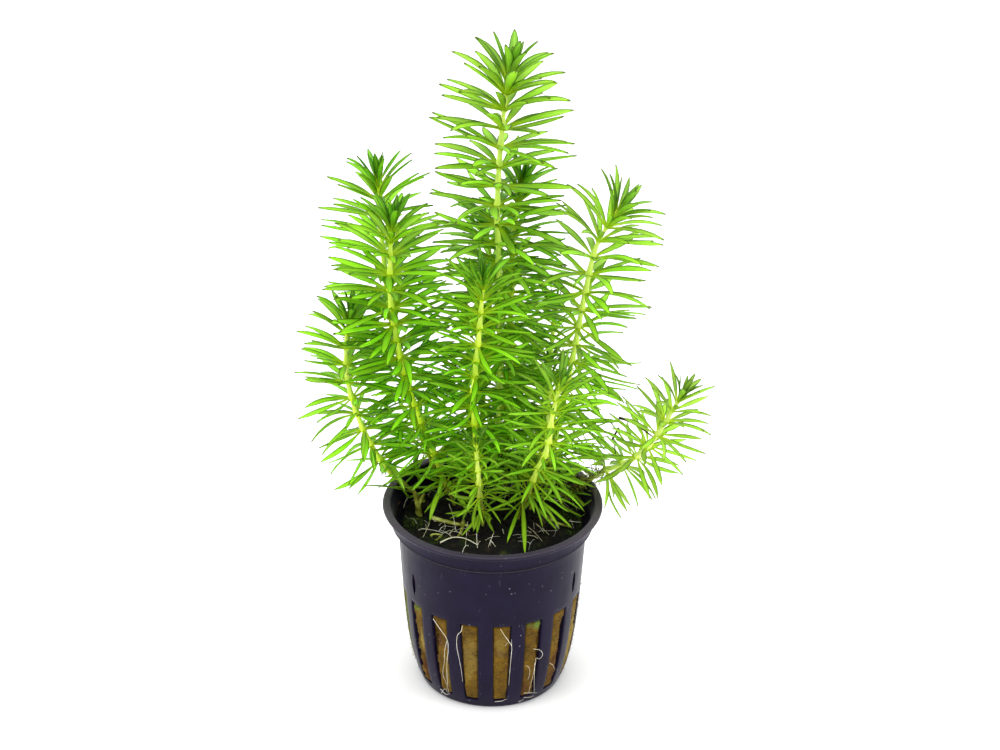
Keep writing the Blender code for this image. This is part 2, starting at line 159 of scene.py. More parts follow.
pointKinds = {
    "girth": "FLOAT", "whorl": "BOOLEAN", "leaves": "INT", "down": "FLOAT", "heading": "FLOAT_VECTOR",
    "start": "FLOAT", "flare": "FLOAT", "foot": "FLOAT", "rise": "FLOAT", "long": "FLOAT", "wide": "FLOAT",
    "arch": "FLOAT", "wild": "FLOAT", "pale": "FLOAT",
}


def pointMesh(name, places, edges, rows):
    # the points that a tree reads, each with its own values
    mesh = bpy.data.meshes.new(name)
    mesh.from_pydata(places, edges, [])
    for label in rows[0]:
        addAttribute(mesh, label, pointKinds[label], [row[label] for row in rows])
    return mesh


def tubeAlong(tree, path, sides, girth):
    # a closed tube along the path, as wide at each point as the path's own girth
    line = addNode(tree, "GeometryNodeMeshToCurve", {"Mesh": path})
    ring = addNode(tree, "GeometryNodeCurvePrimitiveCircle", {"Resolution": sides, "Radius": 1.0})
    return addNode(tree, "GeometryNodeCurveToMesh", {
        "Curve": line, "Profile Curve": ring, "Scale": girth, "Fill Caps": True})


def paint(tree, shown, layers):
    # colours laid over each other, each by its own share
    for amount, colour in layers:
        shown = addNode(tree, "ShaderNodeMix", {
            "Factor": amount, "A": shown, "B": colour}, data_type="RGBA").outputs[2]
    return shown


def readAttributes(tree, names):
    return {name: addNode(tree, "ShaderNodeAttribute", attribute_name=name).outputs["Fac"] for name in names}


def mottledMaterial(name, finish, scale, detail, stops):
    # a tissue whose colour wanders between a few tones, in patches of this scale
    material, tree, shader = newMaterial(name, finish)
    coords = addNode(tree, "ShaderNodeTexCoord").outputs["Object"]
    patches = addNode(tree, "ShaderNodeTexNoise", {"Vector": coords, "Scale": scale, "Detail": detail})
    tones = addNode(tree, "ShaderNodeValToRGB", {"Fac": patches}, stops=stops)
    tree.links.new(tones.outputs["Color"], shader.inputs["Base Color"])
    return material


def settle(piece, node=None):
    # the plant and its pot are one body, so every piece rides on it
    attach(piece, "root")
    if node:
        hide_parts(node)
    print(piece.name, len(piece.data.polygons), "faces")


def around(angle, radius, height):
    # a place about the pot's axis, its angle counted from the front towards the right
    return Vector((radius * math.sin(angle), -radius * math.cos(angle), height))


def fractal(place, size, octaves=3):
    # soft noise of about this grain size, in millimetres, between about -1 and 1
    total = 0.0
    share = 1.0
    for octave in range(octaves):
        total += noise.noise(place * (2 ** octave / size)) * share
        share *= 0.5
    return total


# Camera, fitted to the pot's lip, collar and base in the photograph
view = {
    "aim": (1.4, 0.0, 80.6),  # mm, the place that the camera looks at
    "distance": 600.0,  # mm
    "elevation": 27.57,  # degrees
    "roll": 0.64,  # degrees
    "lens": 93.78,  # mm
    "sensor": 36.0,  # mm wide
    "nearest": 0.01,  # m
}
camera = bpy.data.objects.new("camera", bpy.data.cameras.new("camera"))
scene.collection.objects.link(camera)
scene.camera = camera
camera.data.lens = view["lens"]
camera.data.sensor_width = view["sensor"]
camera.data.clip_start = view["nearest"]
lift = math.radians(view["elevation"])
towards = Vector((0, -math.cos(lift), math.sin(lift)))
camera.location = (Vector(view["aim"]) + towards * view["distance"]) * mm
camera.rotation_euler = (math.pi / 2 - lift, 0, 0)
camera.rotation_euler.rotate_axis("Z", math.radians(view["roll"]))

# Plain white studio: a bright sky, a little darker behind the camera, and soft lamps above and beside
scene.view_settings.view_transform = "Standard"  # the photograph has clean whites and vivid greens
studio = {
    "sky": 1.12,
    "behindCamera": 1.0,  # the part of the sky that the pot's front mirrors
    "skyTurns": (-0.9, 0.2),  # from where to where along Y it brightens
    "backdrop": 1.1,  # as the camera sees the sky
    "lamps": {  # place in metres, size in metres, power in watts
        "lamp_above": ((0.0, 0.05, 1.1), 1.1, 14.0),
        "lamp_left": ((-0.8, -0.45, 0.55), 0.55, 3.6),
        "lamp_right": ((0.85, -0.35, 0.5), 0.45, 3.0),
    },
    "lampsAim": (0, 0, 0.08),
    "floorReach": 3.0,  # metres from the plant to each edge
    "floorCells": 8,
    "floorTones": ("#e9e9e9", "#ededed"),
}
world = bpy.data.worlds.new("studio")
scene.world = world
world.use_nodes = True
sky = world.node_tree
sky.nodes.clear()
skyAxes = addNode(sky, "ShaderNodeSeparateXYZ", {0: addNode(sky, "ShaderNodeTexCoord").outputs["Generated"]})
skyFront = addNode(sky, "ShaderNodeMapRange", {
    "Value": skyAxes.outputs["Y"], "From Min": studio["skyTurns"][0], "From Max": studio["skyTurns"][1],
    "To Min": studio["behindCamera"], "To Max": studio["sky"]})
skySeen = addNode(sky, "ShaderNodeMix", {
    "Factor": addNode(sky, "ShaderNodeLightPath").outputs["Is Camera Ray"],
    "A": skyFront, "B": studio["backdrop"]})
skyLight = addNode(sky, "ShaderNodeBackground", {"Color": (1, 1, 1, 1), "Strength": skySeen})
addNode(sky, "ShaderNodeOutputWorld", {"Surface": skyLight})
for name, (place, size, power) in studio["lamps"].items():
    lamp = bpy.data.objects.new(name, bpy.data.lights.new(name, "AREA"))
    lamp.data.shape = "DISK"
    lamp.data.size = size
    lamp.data.energy = power
    lamp.location = place
    lamp.rotation_euler = (Vector(studio["lampsAim"]) - Vector(place)).to_track_quat("-Z", "Y").to_euler()
    scene.collection.objects.link(lamp)

# Matte white paper: no gloss, so the pot leaves only a soft shadow on it
floorMaterial, floorTree, floorShader = newMaterial(
    "paper_white_matte", {"Roughness": 0.9, "Specular IOR Level": 0.2})
floorCoords = addNode(floorTree, "ShaderNodeTexCoord").outputs["Object"]
floorGrain = addNode(floorTree, "ShaderNodeTexNoise", {
    "Vector": floorCoords, "Scale": 3.0})  # clouds of 330 mm
floorTone = paint(floorTree, studio["floorTones"][0], [(floorGrain, studio["floorTones"][1])])
floorTree.links.new(floorTone, floorShader.inputs["Base Color"])
floorShape = bmesh.new()
cells = studio["floorCells"]
bmesh.ops.create_grid(floorShape, x_segments=cells, y_segments=cells, size=studio["floorReach"])
floor = addPiece("studio_floor", shapeToMesh("studio_floor", floorShape, floorMaterial))
print("studio and camera ready")


# The net pot: thin black plastic with a flat lip, a collar, seventeen slots and three narrow slits
pot = {  # millimetres and degrees, profiles as radius and height
    "baseRadius": 17.1,
    "flare": (3.0, 8.0, 0.055),  # how the wall bells out and then rises: size, height, slope
    "wall": 1.0,
    "foot": ((16.4, 0.0), (16.9, 0.1), (17.15, 0.45), (17.4, 1.0), (17.7, 1.8)),
    "collar": ((22.4, 40.75), (22.6, 41.0), (22.95, 41.25), (23.35, 41.5), (23.7, 41.8), (23.95, 42.2),
               (24.1, 42.8), (24.2, 43.8), (24.35, 45.0)),
    "lip": ((24.6, 45.55), (25.0, 45.85), (25.5, 46.0), (25.85, 46.2), (26.0, 46.5), (25.97, 46.78),
            (25.8, 46.95), (25.5, 47.0), (24.6, 47.0), (24.25, 46.92), (24.08, 46.7)),
    "insideCollar": ((23.9, 46.3), (23.6, 45.4), (23.3, 43.5), (23.15, 42.4), (22.6, 41.6)),
    "insideFloor": ((16.9, 1.5), (16.2, 1.2)),
    "underside": 0.6,  # how far out a second ring of points lies in the base and the floor
    "slots": 17,
    "firstSlot": 7.0,
    "slotHeights": (2.6, 25.4),
    "slotRows": 12,
    "rib": 3.5,
    "ribColumns": 4,
    "slotColumns": 6,
    "slits": (62.65, 182.65, 302.65),
    "slitHeights": (28.0, 34.0),
    "slitRows": 9,
    "slitWidth": 1.25,  # in its middle: each slit is a lens with pointed ends
    "slitShape": (0.8, 0.06),  # how full the lens is, and half its width at the ends
    "rowBelowSlits": 26.8,
    "rowsAboveSlits": (36.0, 38.5, 40.4),
    "edge": 0.16,  # rounding of the slots' edges
    "smoothBelow": 38,
}


def wallRadius(height):
    size, rise, slope = pot["flare"]
    return pot["baseRadius"] + size * (1 - math.exp(-height / rise)) + slope * height


def halfSlot(height):
    # half of a slot's angle: the ribs keep one width, so the slots narrow downwards
    low, high = pot["slotHeights"]
    level = min(max(height, low), high)
    return math.pi / pot["slots"] - math.asin(pot["rib"] / 2 / wallRadius(level))


def columnAngle(column, height):
    # the grid's columns follow the edges of ribs and slots
    perSlot = pot["ribColumns"] + pot["slotColumns"]
    number, step = divmod(column, perSlot)
    middle = math.radians(pot["firstSlot"]) + number * 2 * math.pi / pot["slots"]
    half = halfSlot(height)
    if step <= pot["slotColumns"]:
        return middle - half + 2 * half * step / pot["slotColumns"]
    ribAngle = 2 * math.pi / pot["slots"] - 2 * half
    return middle + half + ribAngle * (step - pot["slotColumns"]) / pot["ribColumns"]


def makePot(material):
    shape = bmesh.new()
    perSlot = pot["ribColumns"] + pot["slotColumns"]
    columns = pot["slots"] * perSlot
    low, high = pot["slotHeights"]
    slitLow, slitHigh = pot["slitHeights"]
    rows = spaced(low, high, pot["slotRows"]) + [pot["rowBelowSlits"]]
    rows += spaced(slitLow, slitHigh, pot["slitRows"]) + list(pot["rowsAboveSlits"])
    outside = list(pot["foot"]) + [(wallRadius(row), row) for row in rows] + list(pot["collar"] + pot["lip"])
    inside = [(wallRadius(row) - pot["wall"], row) for row in rows[::-1]]
    inside = list(pot["insideCollar"]) + inside + list(pot["insideFloor"])
    rings = []
    for radius, height in outside + inside:
        places = [around(columnAngle(column, height), radius, height) for column in range(columns)]
        rings.append([shape.verts.new(place * mm) for place in places])
    outRow = {height: number for number, (radius, height) in enumerate(outside)}
    inRow = {height: number + len(outside) for number, (radius, height) in enumerate(inside)}
    # each hole is a block of the grid: its columns and its rows
    holes = [(slot * perSlot, slot * perSlot + pot["slotColumns"], low, high) for slot in range(pot["slots"])]
    fullness, halfEnd = pot["slitShape"]
    for slit in pot["slits"]:
        turn = math.radians(slit)
        gaps = [abs(math.remainder(columnAngle(column + 0.5, slitLow) - turn, 2 * math.pi))
                for column in range(columns)]
        column = gaps.index(min(gaps))
        holes.append((column, column + 1, slitLow, slitHigh))
        for level in (row for row in rows if slitLow <= row <= slitHigh):
            along = 2 * (level - slitLow) / (slitHigh - slitLow) - 1
            half = pot["slitWidth"] / 2 * (1 - along * along) ** fullness + halfEnd
            wall = wallRadius(level)
            for row, radius in ((outRow[level], wall), (inRow[level], wall - pot["wall"])):
                for side in (0, 1):
                    place = around(turn + (2 * side - 1) * half / wall, radius, level)
                    rings[row][(column + side) % columns].co = place * mm
    cut = set()
    for left, right, bottom, top in holes:
        for column in range(left, right):
            cut.update((row, column % columns) for row in range(outRow[bottom], outRow[top]))
            cut.update((row, column % columns) for row in range(inRow[top], inRow[bottom]))
    for row, (lower, upper) in enumerate(zip(rings, rings[1:])):
        for column in range(columns):
            after = (column + 1) % columns
            if (row, column) not in cut:
                shape.faces.new((lower[column], lower[after], upper[after], upper[column]))
    # the wall's thickness round each hole, and the rims of the slots, which are rounded
    rims = []
    for left, right, bottom, top in holes:
        levels = [row for row in rows if bottom <= row <= top]
        edges = [(below, above, column % columns, column % columns)
                 for column in (left, right) for below, above in zip(levels, levels[1:])]
        edges += [(level, level, column % columns, (column + 1) % columns)
                  for level in (bottom, top) for column in range(left, right)]
        for below, above, first, second in edges:
            corners = [rings[outRow[below]][first], rings[outRow[above]][second],
                       rings[inRow[above]][second], rings[inRow[below]][first]]
            shape.faces.new(corners)
            if bottom == low:
                rims.append(shape.edges.get(corners[:2]))
    for ring in (rings[0], rings[-1]):
        flat = pot["underside"]
        inner = [shape.verts.new(Vector((vert.co.x * flat, vert.co.y * flat, vert.co.z))) for vert in ring]
        for column in range(columns):
            after = (column + 1) % columns
            shape.faces.new((ring[column], ring[after], inner[after], inner[column]))
        shape.faces.new(inner)
    bmesh.ops.recalc_face_normals(shape, faces=shape.faces)
    bmesh.ops.bevel(shape, geom=rims, offset=pot["edge"] * mm, segments=2, profile=0.5,
                    affect="EDGES", clamp_overlap=True)
    return addPiece("net_pot", shapeToMesh("net_pot", shape, material, pot["smoothBelow"]))


# Black polypropylene, injection moulded: a soft satin with rubbed streaks, fine scratches and pale dust,
# painted shade under the collar, and painted light with rubbing on the lip's top
potFinish = {
    "tints": ("#140f22", "#1a142b"),
    "cloudScale": 160.0,  # tints in clouds of 6 mm
    "streakScale": 900.0,  # rubbed streaks 1.1 mm wide
    "streakStretch": 0.12,  # and eight times as long
    "roughness": (0.3, 0.44),
    "dust": "#a39ca8",
    "dustCells": (  # scale, share of cells left clean, size of a speck in its cell, strength
        (420.0, 0.66, 0.09, 0.55),  # a speck in a cell of 2.4 mm, as in the photograph
        (900.0, 0.8, 0.13, 0.4),  # and of 1.1 mm
    ),
    "scratches": "#6f6878",
    "scratchScale": 330.0,  # long upright cells 3 mm wide, whose edges are the scratches
    "scratchPatches": 230.0,  # and only in some patches of 4 mm
    # painted light and rubbing on the lip's top
    "lightAndRubOnLip": "#524c53",
    # painted shade in the corner under the collar
    "shadeUnderCollar": "#0d0914",
    "underCollarHeight": 41.7,  # mm
}
potPlastic, tree, shader = newMaterial("polypropylene_moulded_black", {
    "IOR": 1.49, "Specular IOR Level": 0.07, "Roughness": 0.34, "Sheen Weight": 0.12, "Sheen Roughness": 0.3})
coords = addNode(tree, "ShaderNodeTexCoord").outputs["Object"]
axes = addNode(tree, "ShaderNodeSeparateXYZ", {0: coords})
streakPlace = addNode(tree, "ShaderNodeMapping", {
    "Vector": coords, "Scale": (1.0, 1.0, potFinish["streakStretch"])})
streaks = addNode(tree, "ShaderNodeTexNoise", {
    "Vector": streakPlace, "Scale": potFinish["streakScale"], "Detail": 4.0})
cloud = addNode(tree, "ShaderNodeTexNoise", {
    "Vector": coords, "Scale": potFinish["cloudScale"], "Detail": 3.0})
darker, lighter = potFinish["tints"]
tint = addNode(tree, "ShaderNodeValToRGB", {"Fac": cloud}, stops=[(0.3, darker), (0.7, lighter)])
shown = tint.outputs["Color"]
for scale, clean, size, strength in potFinish["dustCells"]:
    dust = addNode(tree, "ShaderNodeTexVoronoi", {"Vector": coords, "Scale": scale, "Randomness": 1.0})
    speck = addNode(tree, "ShaderNodeMapRange", {
        "Value": dust.outputs["Distance"], "From Min": size * 0.5, "From Max": size,
        "To Min": strength, "To Max": 0.0})
    chosen = addNode(tree, "ShaderNodeSeparateColor", {0: dust.outputs["Color"]})
    some = addNode(tree, "ShaderNodeMath", {0: chosen.outputs[0], 1: clean}, operation="GREATER_THAN")
    amount = addNode(tree, "ShaderNodeMath", {0: speck, 1: some}, operation="MULTIPLY")
    shown = paint(tree, shown, [(amount, potFinish["dust"])])
scratchPlace = addNode(tree, "ShaderNodeMapping", {
    "Vector": coords, "Rotation": (0.12, 0.1, 0.0), "Scale": (1.0, 1.0, 0.16)})  # nearly upright
scratch = addNode(tree, "ShaderNodeTexVoronoi", {
    "Vector": scratchPlace, "Scale": potFinish["scratchScale"]}, feature="DISTANCE_TO_EDGE")
scratchLine = addNode(tree, "ShaderNodeMapRange", {
    "Value": scratch.outputs["Distance"], "From Min": 0.0, "From Max": 0.022, "To Min": 1.0, "To Max": 0.0})
scratchNoise = addNode(tree, "ShaderNodeTexNoise", {
    "Vector": coords, "Scale": potFinish["scratchPatches"], "Detail": 1.0})
scratchSome = addNode(tree, "ShaderNodeMapRange", {
    "Value": scratchNoise, "From Min": 0.66, "From Max": 0.72, "To Min": 0.0, "To Max": 0.3})
scratched = addNode(tree, "ShaderNodeMath", {0: scratchLine, 1: scratchSome}, operation="MULTIPLY")
onLip = addNode(tree, "ShaderNodeMapRange", {  # the lip's top is painted lighter grey: painted light from above, and rubbing
    "Value": axes.outputs["Z"], "From Min": 0.0465, "From Max": 0.0469, "To Min": 0.0, "To Max": 0.9})
lipSide = addNode(tree, "ShaderNodeMapRange", {  # but less in front
    "Value": axes.outputs["Y"], "From Min": -0.024, "From Max": -0.006, "To Min": 0.35, "To Max": 1.0})
lipLightAndRub = addNode(tree, "ShaderNodeMath", {0: onLip, 1: lipSide}, operation="MULTIPLY")
fromStep = addNode(tree, "ShaderNodeMath", {  # painted shade: a dark band in the corner under the collar, its gloss dulled there too
    0: axes.outputs["Z"], 1: potFinish["underCollarHeight"] * mm}, operation="SUBTRACT")
corner = addNode(tree, "ShaderNodeMapRange", {
    "Value": addNode(tree, "ShaderNodeMath", {0: fromStep}, operation="ABSOLUTE"),
    "From Min": 0.0005, "From Max": 0.0017, "To Min": 0.75, "To Max": 0.0})
shown = paint(tree, shown, [
    (scratched, potFinish["scratches"]), (lipLightAndRub, potFinish["lightAndRubOnLip"]),
    (corner, potFinish["shadeUnderCollar"])])
tree.links.new(shown, shader.inputs["Base Color"])
smoothest, roughest = potFinish["roughness"]
rough = addNode(tree, "ShaderNodeMapRange", {
    "Value": streaks, "From Min": 0.3, "From Max": 0.7, "To Min": smoothest, "To Max": roughest})
dulled = addNode(tree, "ShaderNodeMix", {"Factor": corner, "A": rough, "B": 1.0})
tree.links.new(dulled.outputs[0], shader.inputs["Roughness"])
relief = addNode(tree, "ShaderNodeBump", {"Height": streaks, "Strength": 0.06, "Distance": 0.0002})
tree.links.new(relief.outputs[0], shader.inputs["Normal"])

settle(makePot(potPlastic), "pot")


# The rock wool plug: matted mineral fibre, pressed into the slots, dark and mossy on top
plug = {  # millimetres
    "top": 41.6,
    "mound": 0.9,
    "uneven": 0.25,
    "waves": ((3, 1.0, 1.1, 0.0), (5, 0.7, 0.0, 9.0)),  # count round, size, start, shift towards the rim
    "rim": 21.3,
    "rimHeight": 41.5,
    "columns": 510,
    "rowsBelow": (1.25, 2.0),
    "rowsInSlots": (2.6, 0.24, 96),  # the first, the step and their count
    "rowsAbove": (28.0, 31.0, 34.0, 37.0, 39.0, 40.4),
    "topRings": 64,
    "gap": 0.12,
    "frontBulge": 0.92,  # how far it swells into a slot from the wall's inside
    "sideBulge": 0.98,
    "sideness": 6,  # the power of the sine that tells the sides from the front
    "slotEnds": (0.35, 0.6),  # over what height the swelling fades at a slot's bottom and top
    "slotSides": 9,  # how steeply it rises from the ribs
    "matting": (1.5, 0.16),  # grain size and depth
    "mattingRise": 3,  # how soon it reaches that depth as the wool swells
    "tufts": (3.0, 0.75),
    "crumbs": (0.8, 0.22),
    "roughRim": (12, 0.3),  # how steeply tufts and crumbs rise from the rim, and their share there
    "slotFur": (0.2, 0.3),  # share of fur in the front slots, and how much more at the sides
    "moss": (1.6, 1.5, 0.5, 2.4),  # its strength in a patch, how it fades, raggedness, grain size
    "darkAbove": (36.0, 39.0),
}
patchEdge = {"radius": 20.0, "farthest": 1.8, "ragged": 0.45, "grain": 1.7, "fade": 1.7}
hollows = (  # where the wool has sunk back: degrees round, height, half width, half height, depth
    (-62.0, 14.0, 1.3, 12.0, 1.3),
    (-52.5, 8.0, 1.5, 4.5, 0.7),
    (-40.0, 19.5, 1.2, 5.5, 1.7),
    (-40.3, 9.0, 0.6, 6.0, 1.0),
    (-19.3, 14.0, 0.35, 10.0, 0.5),
    (12.3, 14.0, 0.35, 10.0, 0.5),
    (33.6, 18.0, 0.9, 6.0, 1.6),
    (33.0, 8.0, 0.5, 5.0, 0.8),
    (54.6, 14.0, 1.1, 11.0, 1.5),
    (75.5, 20.0, 1.0, 4.0, 1.2),
    (118.0, 17.0, 1.1, 7.0, 1.6),
    (155.0, 9.0, 1.4, 5.0, 1.3),
    (-140.0, 18.0, 1.0, 6.0, 1.7),
    (-165.0, 10.0, 1.2, 6.0, 1.2),
)
woolStains = (  # kind, degrees round, height, half width, half height, strength
    ("rust", -52.0, 6.5, 2.4, 5.0, 1.0),
    ("rust", -37.0, 20.0, 2.0, 4.5, 0.55),
    ("rust", 4.0, 17.5, 1.4, 1.1, 0.5),
    ("rust", 9.0, 12.6, 1.0, 0.7, 0.5),
    ("rust", 6.0, 6.0, 1.8, 0.7, 0.4),
    ("rust", 25.5, 5.5, 1.3, 3.0, 0.7),
    ("rust", 49.5, 9.0, 2.0, 8.0, 0.6),
    ("rust", 132.0, 12.0, 3.0, 8.0, 0.6),
    ("rust", -118.0, 9.0, 3.0, 6.0, 0.7),
    ("sand", -53.0, 15.5, 1.0, 3.5, 0.9),
    ("sand", -31.5, 9.0, 0.7, 7.0, 0.5),
    ("sand", -14.0, 15.0, 2.2, 9.0, 0.35),
    ("sand", 6.0, 20.0, 1.8, 4.0, 0.3),
    ("sand", 70.0, 14.0, 2.4, 11.0, 0.8),
    ("sand", 91.0, 12.0, 2.4, 10.0, 0.6),
    ("sand", -99.0, 15.0, 2.4, 9.0, 0.5),
    ("algae", 30.6, 24.4, 1.4, 1.7, 1.0),
    ("algae", 25.0, 24.6, 1.2, 0.9, 0.5),
    ("algae", -57.0, 24.5, 2.2, 2.0, 0.6),
    ("algae", -79.0, 15.0, 3.2, 12.0, 0.9),
    ("algae", 93.0, 22.0, 2.0, 3.0, 0.6),
    ("algae", 175.0, 19.0, 2.2, 6.0, 0.6),
    ("algae", -141.0, 22.0, 2.0, 3.0, 0.7),
)
topMoss = (  # place on the plug's top, radius, strength
    (-18.0, -2.5, 4.0, 0.9),
    (-13.5, -9.0, 3.0, 0.6),
    (-6.0, -11.0, 2.6, 0.5),
    (17.5, 2.0, 5.0, 1.0),
    (19.0, -5.0, 2.5, 0.8),
    (10.0, -12.0, 2.6, 0.5),
    (3.0, -16.0, 2.4, 0.35),
    (16.0, 12.0, 4.0, 0.9),
    (-14.0, 14.0, 4.5, 0.9),
    (2.0, 18.5, 4.0, 0.8),
)


def plugHeight(out, angle):
    ripple = 0.0
    for count, size, start, shift in plug["waves"]:
        ripple += size * math.sin(count * angle + start + shift * out)
    return plug["top"] + plug["mound"] * (1 - out * out) + plug["uneven"] * ripple


def plugTopAt(x, y):
    return plugHeight(min(1.0, math.hypot(x, y) / plug["rim"]), math.atan2(x, -y))


def patchShare(angle, height, patch):
    # how deep inside a patch on the wall this place is, with a ragged edge: 1 in its middle, 0 outside
    turn, middle, halfWidth, halfHeight = patch
    across = math.remainder(angle - math.radians(turn), 2 * math.pi) * patchEdge["radius"] / halfWidth
    reach = math.hypot(across, (height - middle) / halfHeight)
    if reach > patchEdge["farthest"]:
        return 0.0
    reach += patchEdge["ragged"] * fractal(around(angle, patchEdge["radius"], height), patchEdge["grain"])
    return share(patchEdge["fade"] - patchEdge["fade"] * reach)


def sideness(angle):
    return abs(math.sin(angle)) ** plug["sideness"]


def slotBulge(angle, height):
    # nothing behind the ribs, a swelling in each slot, more of it in those at the sides
    low, high = pot["slotHeights"]
    if not low < height < high:
        return 0.0
    offset = math.remainder(angle - math.radians(pot["firstSlot"]), 2 * math.pi / pot["slots"])
    across = abs(offset) / halfSlot(height)
    if across >= 1.0:
        return 0.0
    side = sideness(angle)
    amount = plug["frontBulge"] * (1 - side) + plug["sideBulge"] * side
    for *patch, depth in hollows:
        amount -= depth * patchShare(angle, height, patch)
    fromBottom, fromTop = plug["slotEnds"]
    upDown = min(1.0, (height - low) / fromBottom, (high - height) / fromTop)
    return amount * min(1.0, (1 - across) * plug["slotSides"]) * upDown


def woolInside(height):
    return wallRadius(height) - pot["wall"] - plug["gap"]


def makePlug(material):
    shape = bmesh.new()
    angles = [column * 2 * math.pi / plug["columns"] for column in range(plug["columns"])]
    first, rise, count = plug["rowsInSlots"]
    heights = [first + rise * step for step in range(count)]
    heights = list(plug["rowsBelow"]) + heights + list(plug["rowsAbove"])
    rings, stains, furs = [], [], []
    grain, depth = plug["matting"]
    fewer, more = plug["slotFur"]
    for height in heights:
        ring = []
        for angle in angles:
            bulge = slotBulge(angle, height)
            radius = woolInside(height) + bulge
            stain = Vector((0, 0, 0))
            if bulge:
                matted = min(1.0, abs(bulge) * plug["mattingRise"])
                radius += fractal(around(angle, radius, height), grain) * depth * matted
                for kind, *patch, strength in woolStains:
                    index = ("rust", "sand", "algae").index(kind)
                    stain[index] = max(stain[index], strength * patchShare(angle, height, patch))
            stains.append(stain)
            furs.append(share(bulge) * (fewer + more * sideness(angle)))
            ring.append(shape.verts.new(around(angle, radius, height) * mm))
        rings.append(ring)
    rimRadius = woolInside(plug["rimHeight"])
    steepness, atRim = plug["roughRim"]
    fullMoss, mossFade, mossRagged, mossGrain = plug["moss"]
    for step in range(plug["topRings"]):
        out = 1 - step / plug["topRings"]
        ring = []
        for angle in angles:
            place = around(angle, rimRadius * out, plugHeight(out, angle))
            for grain, depth in (plug["tufts"], plug["crumbs"]):
                place.z += fractal(place, grain) * depth * min(1.0, (1 - out) * steepness + atRim)
            moss = 0.0
            for x, y, radius, strength in topMoss:
                reach = math.hypot(place.x - x, place.y - y) / radius + mossRagged * fractal(place, mossGrain)
                moss = max(moss, strength * share(fullMoss - mossFade * reach))
            stains.append(Vector((0, 0, moss)))
            furs.append(moss)
            ring.append(shape.verts.new(place * mm))
        rings.append(ring)
    for lower, upper in zip(rings, rings[1:]):
        for column in range(plug["columns"]):
            after = (column + 1) % plug["columns"]
            shape.faces.new((lower[column], lower[after], upper[after], upper[column]))
    shape.faces.new(rings[0])
    shape.faces.new(rings[-1])
    mesh = shapeToMesh("wool_plug", shape, material)
    addAttribute(mesh, "stain", "FLOAT_VECTOR", stains)
    addAttribute(mesh, "fur", "FLOAT", furs)
    return addPiece("wool_plug", mesh)


def aboveRim(tree, coords):
    # 0 on the wall of the plug, 1 on its dark top
    height = addNode(tree, "ShaderNodeSeparateXYZ", {0: coords}).outputs["Z"]
    low, high = plug["darkAbove"]
    return addNode(tree, "ShaderNodeMapRange", {
        "Value": height, "From Min": low * mm, "From Max": high * mm, "To Min": 0.0, "To Max": 1.0})


# Rock wool, spun mineral fibre soaked and grown through: dull ochre with brown stains, dark and mossy above,
# where the wet top's own dark tone carries painted shade from the leaves over it
woolFinish = {
    "ochre": ((0.3, "#382709"), (0.43, "#543d09"), (0.55, "#63490a"), (0.7, "#71570f")),
    "ochreScale": 260.0,  # patches of 4 mm
    "fibreScale": 1100.0,  # fibres drawn 0.9 mm long, because the real ones are too fine to show
    "fibreTones": (0.68, 1.2),
    "stains": (("X", "#4a2413"), ("Y", "#958140"), ("Z", "#55732c")),  # rust, sand, algae
    "stainStrength": 0.8,
    # the wet top's dark tone, partly painted shade from the leaves over it
    "darkTopAndShade": ((0.4, "#060505"), (0.58, "#0f0c08"), (0.75, "#2a2115")),
    "moss": ((0.38, "#0b0f07"), (0.55, "#1c270b"), (0.75, "#4d621b")),
    "mossScale": 420.0,  # cushions of 2.4 mm
}
rockWool, tree, shader = newMaterial("rock_wool_spun_damp", {"Roughness": 0.92, "Specular IOR Level": 0.2})
coords = addNode(tree, "ShaderNodeTexCoord").outputs["Object"]
patches = addNode(tree, "ShaderNodeTexNoise", {
    "Vector": coords, "Scale": woolFinish["ochreScale"], "Detail": 6.0, "Roughness": 0.65})
ochre = addNode(tree, "ShaderNodeValToRGB", {"Fac": patches}, stops=woolFinish["ochre"])
fibrePlace = addNode(tree, "ShaderNodeMapping", {
    "Vector": coords, "Scale": (1.0, 1.0, 3.0)})  # fibres lie level
flecks = addNode(tree, "ShaderNodeTexNoise", {
    "Vector": fibrePlace, "Scale": woolFinish["fibreScale"], "Detail": 4.0, "Distortion": 0.6})
fleckTone = addNode(tree, "ShaderNodeMapRange", {
    "Value": flecks, "From Min": 0.32, "From Max": 0.68,
    "To Min": woolFinish["fibreTones"][0], "To Max": woolFinish["fibreTones"][1]})
shown = addNode(tree, "ShaderNodeVectorMath", {
    0: ochre.outputs["Color"], "Scale": fleckTone}, operation="SCALE")
stain = addNode(tree, "ShaderNodeSeparateXYZ", {0: addNode(
    tree, "ShaderNodeAttribute", attribute_name="stain").outputs["Vector"]})
for axis, code in woolFinish["stains"]:
    tone = addNode(tree, "ShaderNodeVectorMath", {
        0: tuple(linearColour(code)[:3]), "Scale": fleckTone}, operation="SCALE")
    amount = addNode(tree, "ShaderNodeMath", {
        0: stain.outputs[axis], 1: woolFinish["stainStrength"]}, operation="MULTIPLY")
    shown = paint(tree, shown, [(amount, tone)])
mossNoise = addNode(tree, "ShaderNodeTexNoise", {
    "Vector": coords, "Scale": woolFinish["mossScale"], "Detail": 5.0})
# the top: dark wet wool partly painted as shade, with moss laid over it
darkTopAndShade = addNode(tree, "ShaderNodeValToRGB", {"Fac": mossNoise}, stops=woolFinish["darkTopAndShade"])
moss = addNode(tree, "ShaderNodeValToRGB", {"Fac": mossNoise}, stops=woolFinish["moss"])
topTone = paint(tree, darkTopAndShade.outputs["Color"], [(stain.outputs["Z"], moss.outputs["Color"])])
shown = paint(tree, shown, [(aboveRim(tree, coords), topTone)])
tree.links.new(shown, shader.inputs["Base Color"])
relief = addNode(tree, "ShaderNodeBump", {"Height": flecks, "Strength": 0.5, "Distance": 0.0003})
tree.links.new(relief.outputs[0], shader.inputs["Normal"])

woolPlug = makePlug(rockWool)
settle(woolPlug, "rockwool_plug")


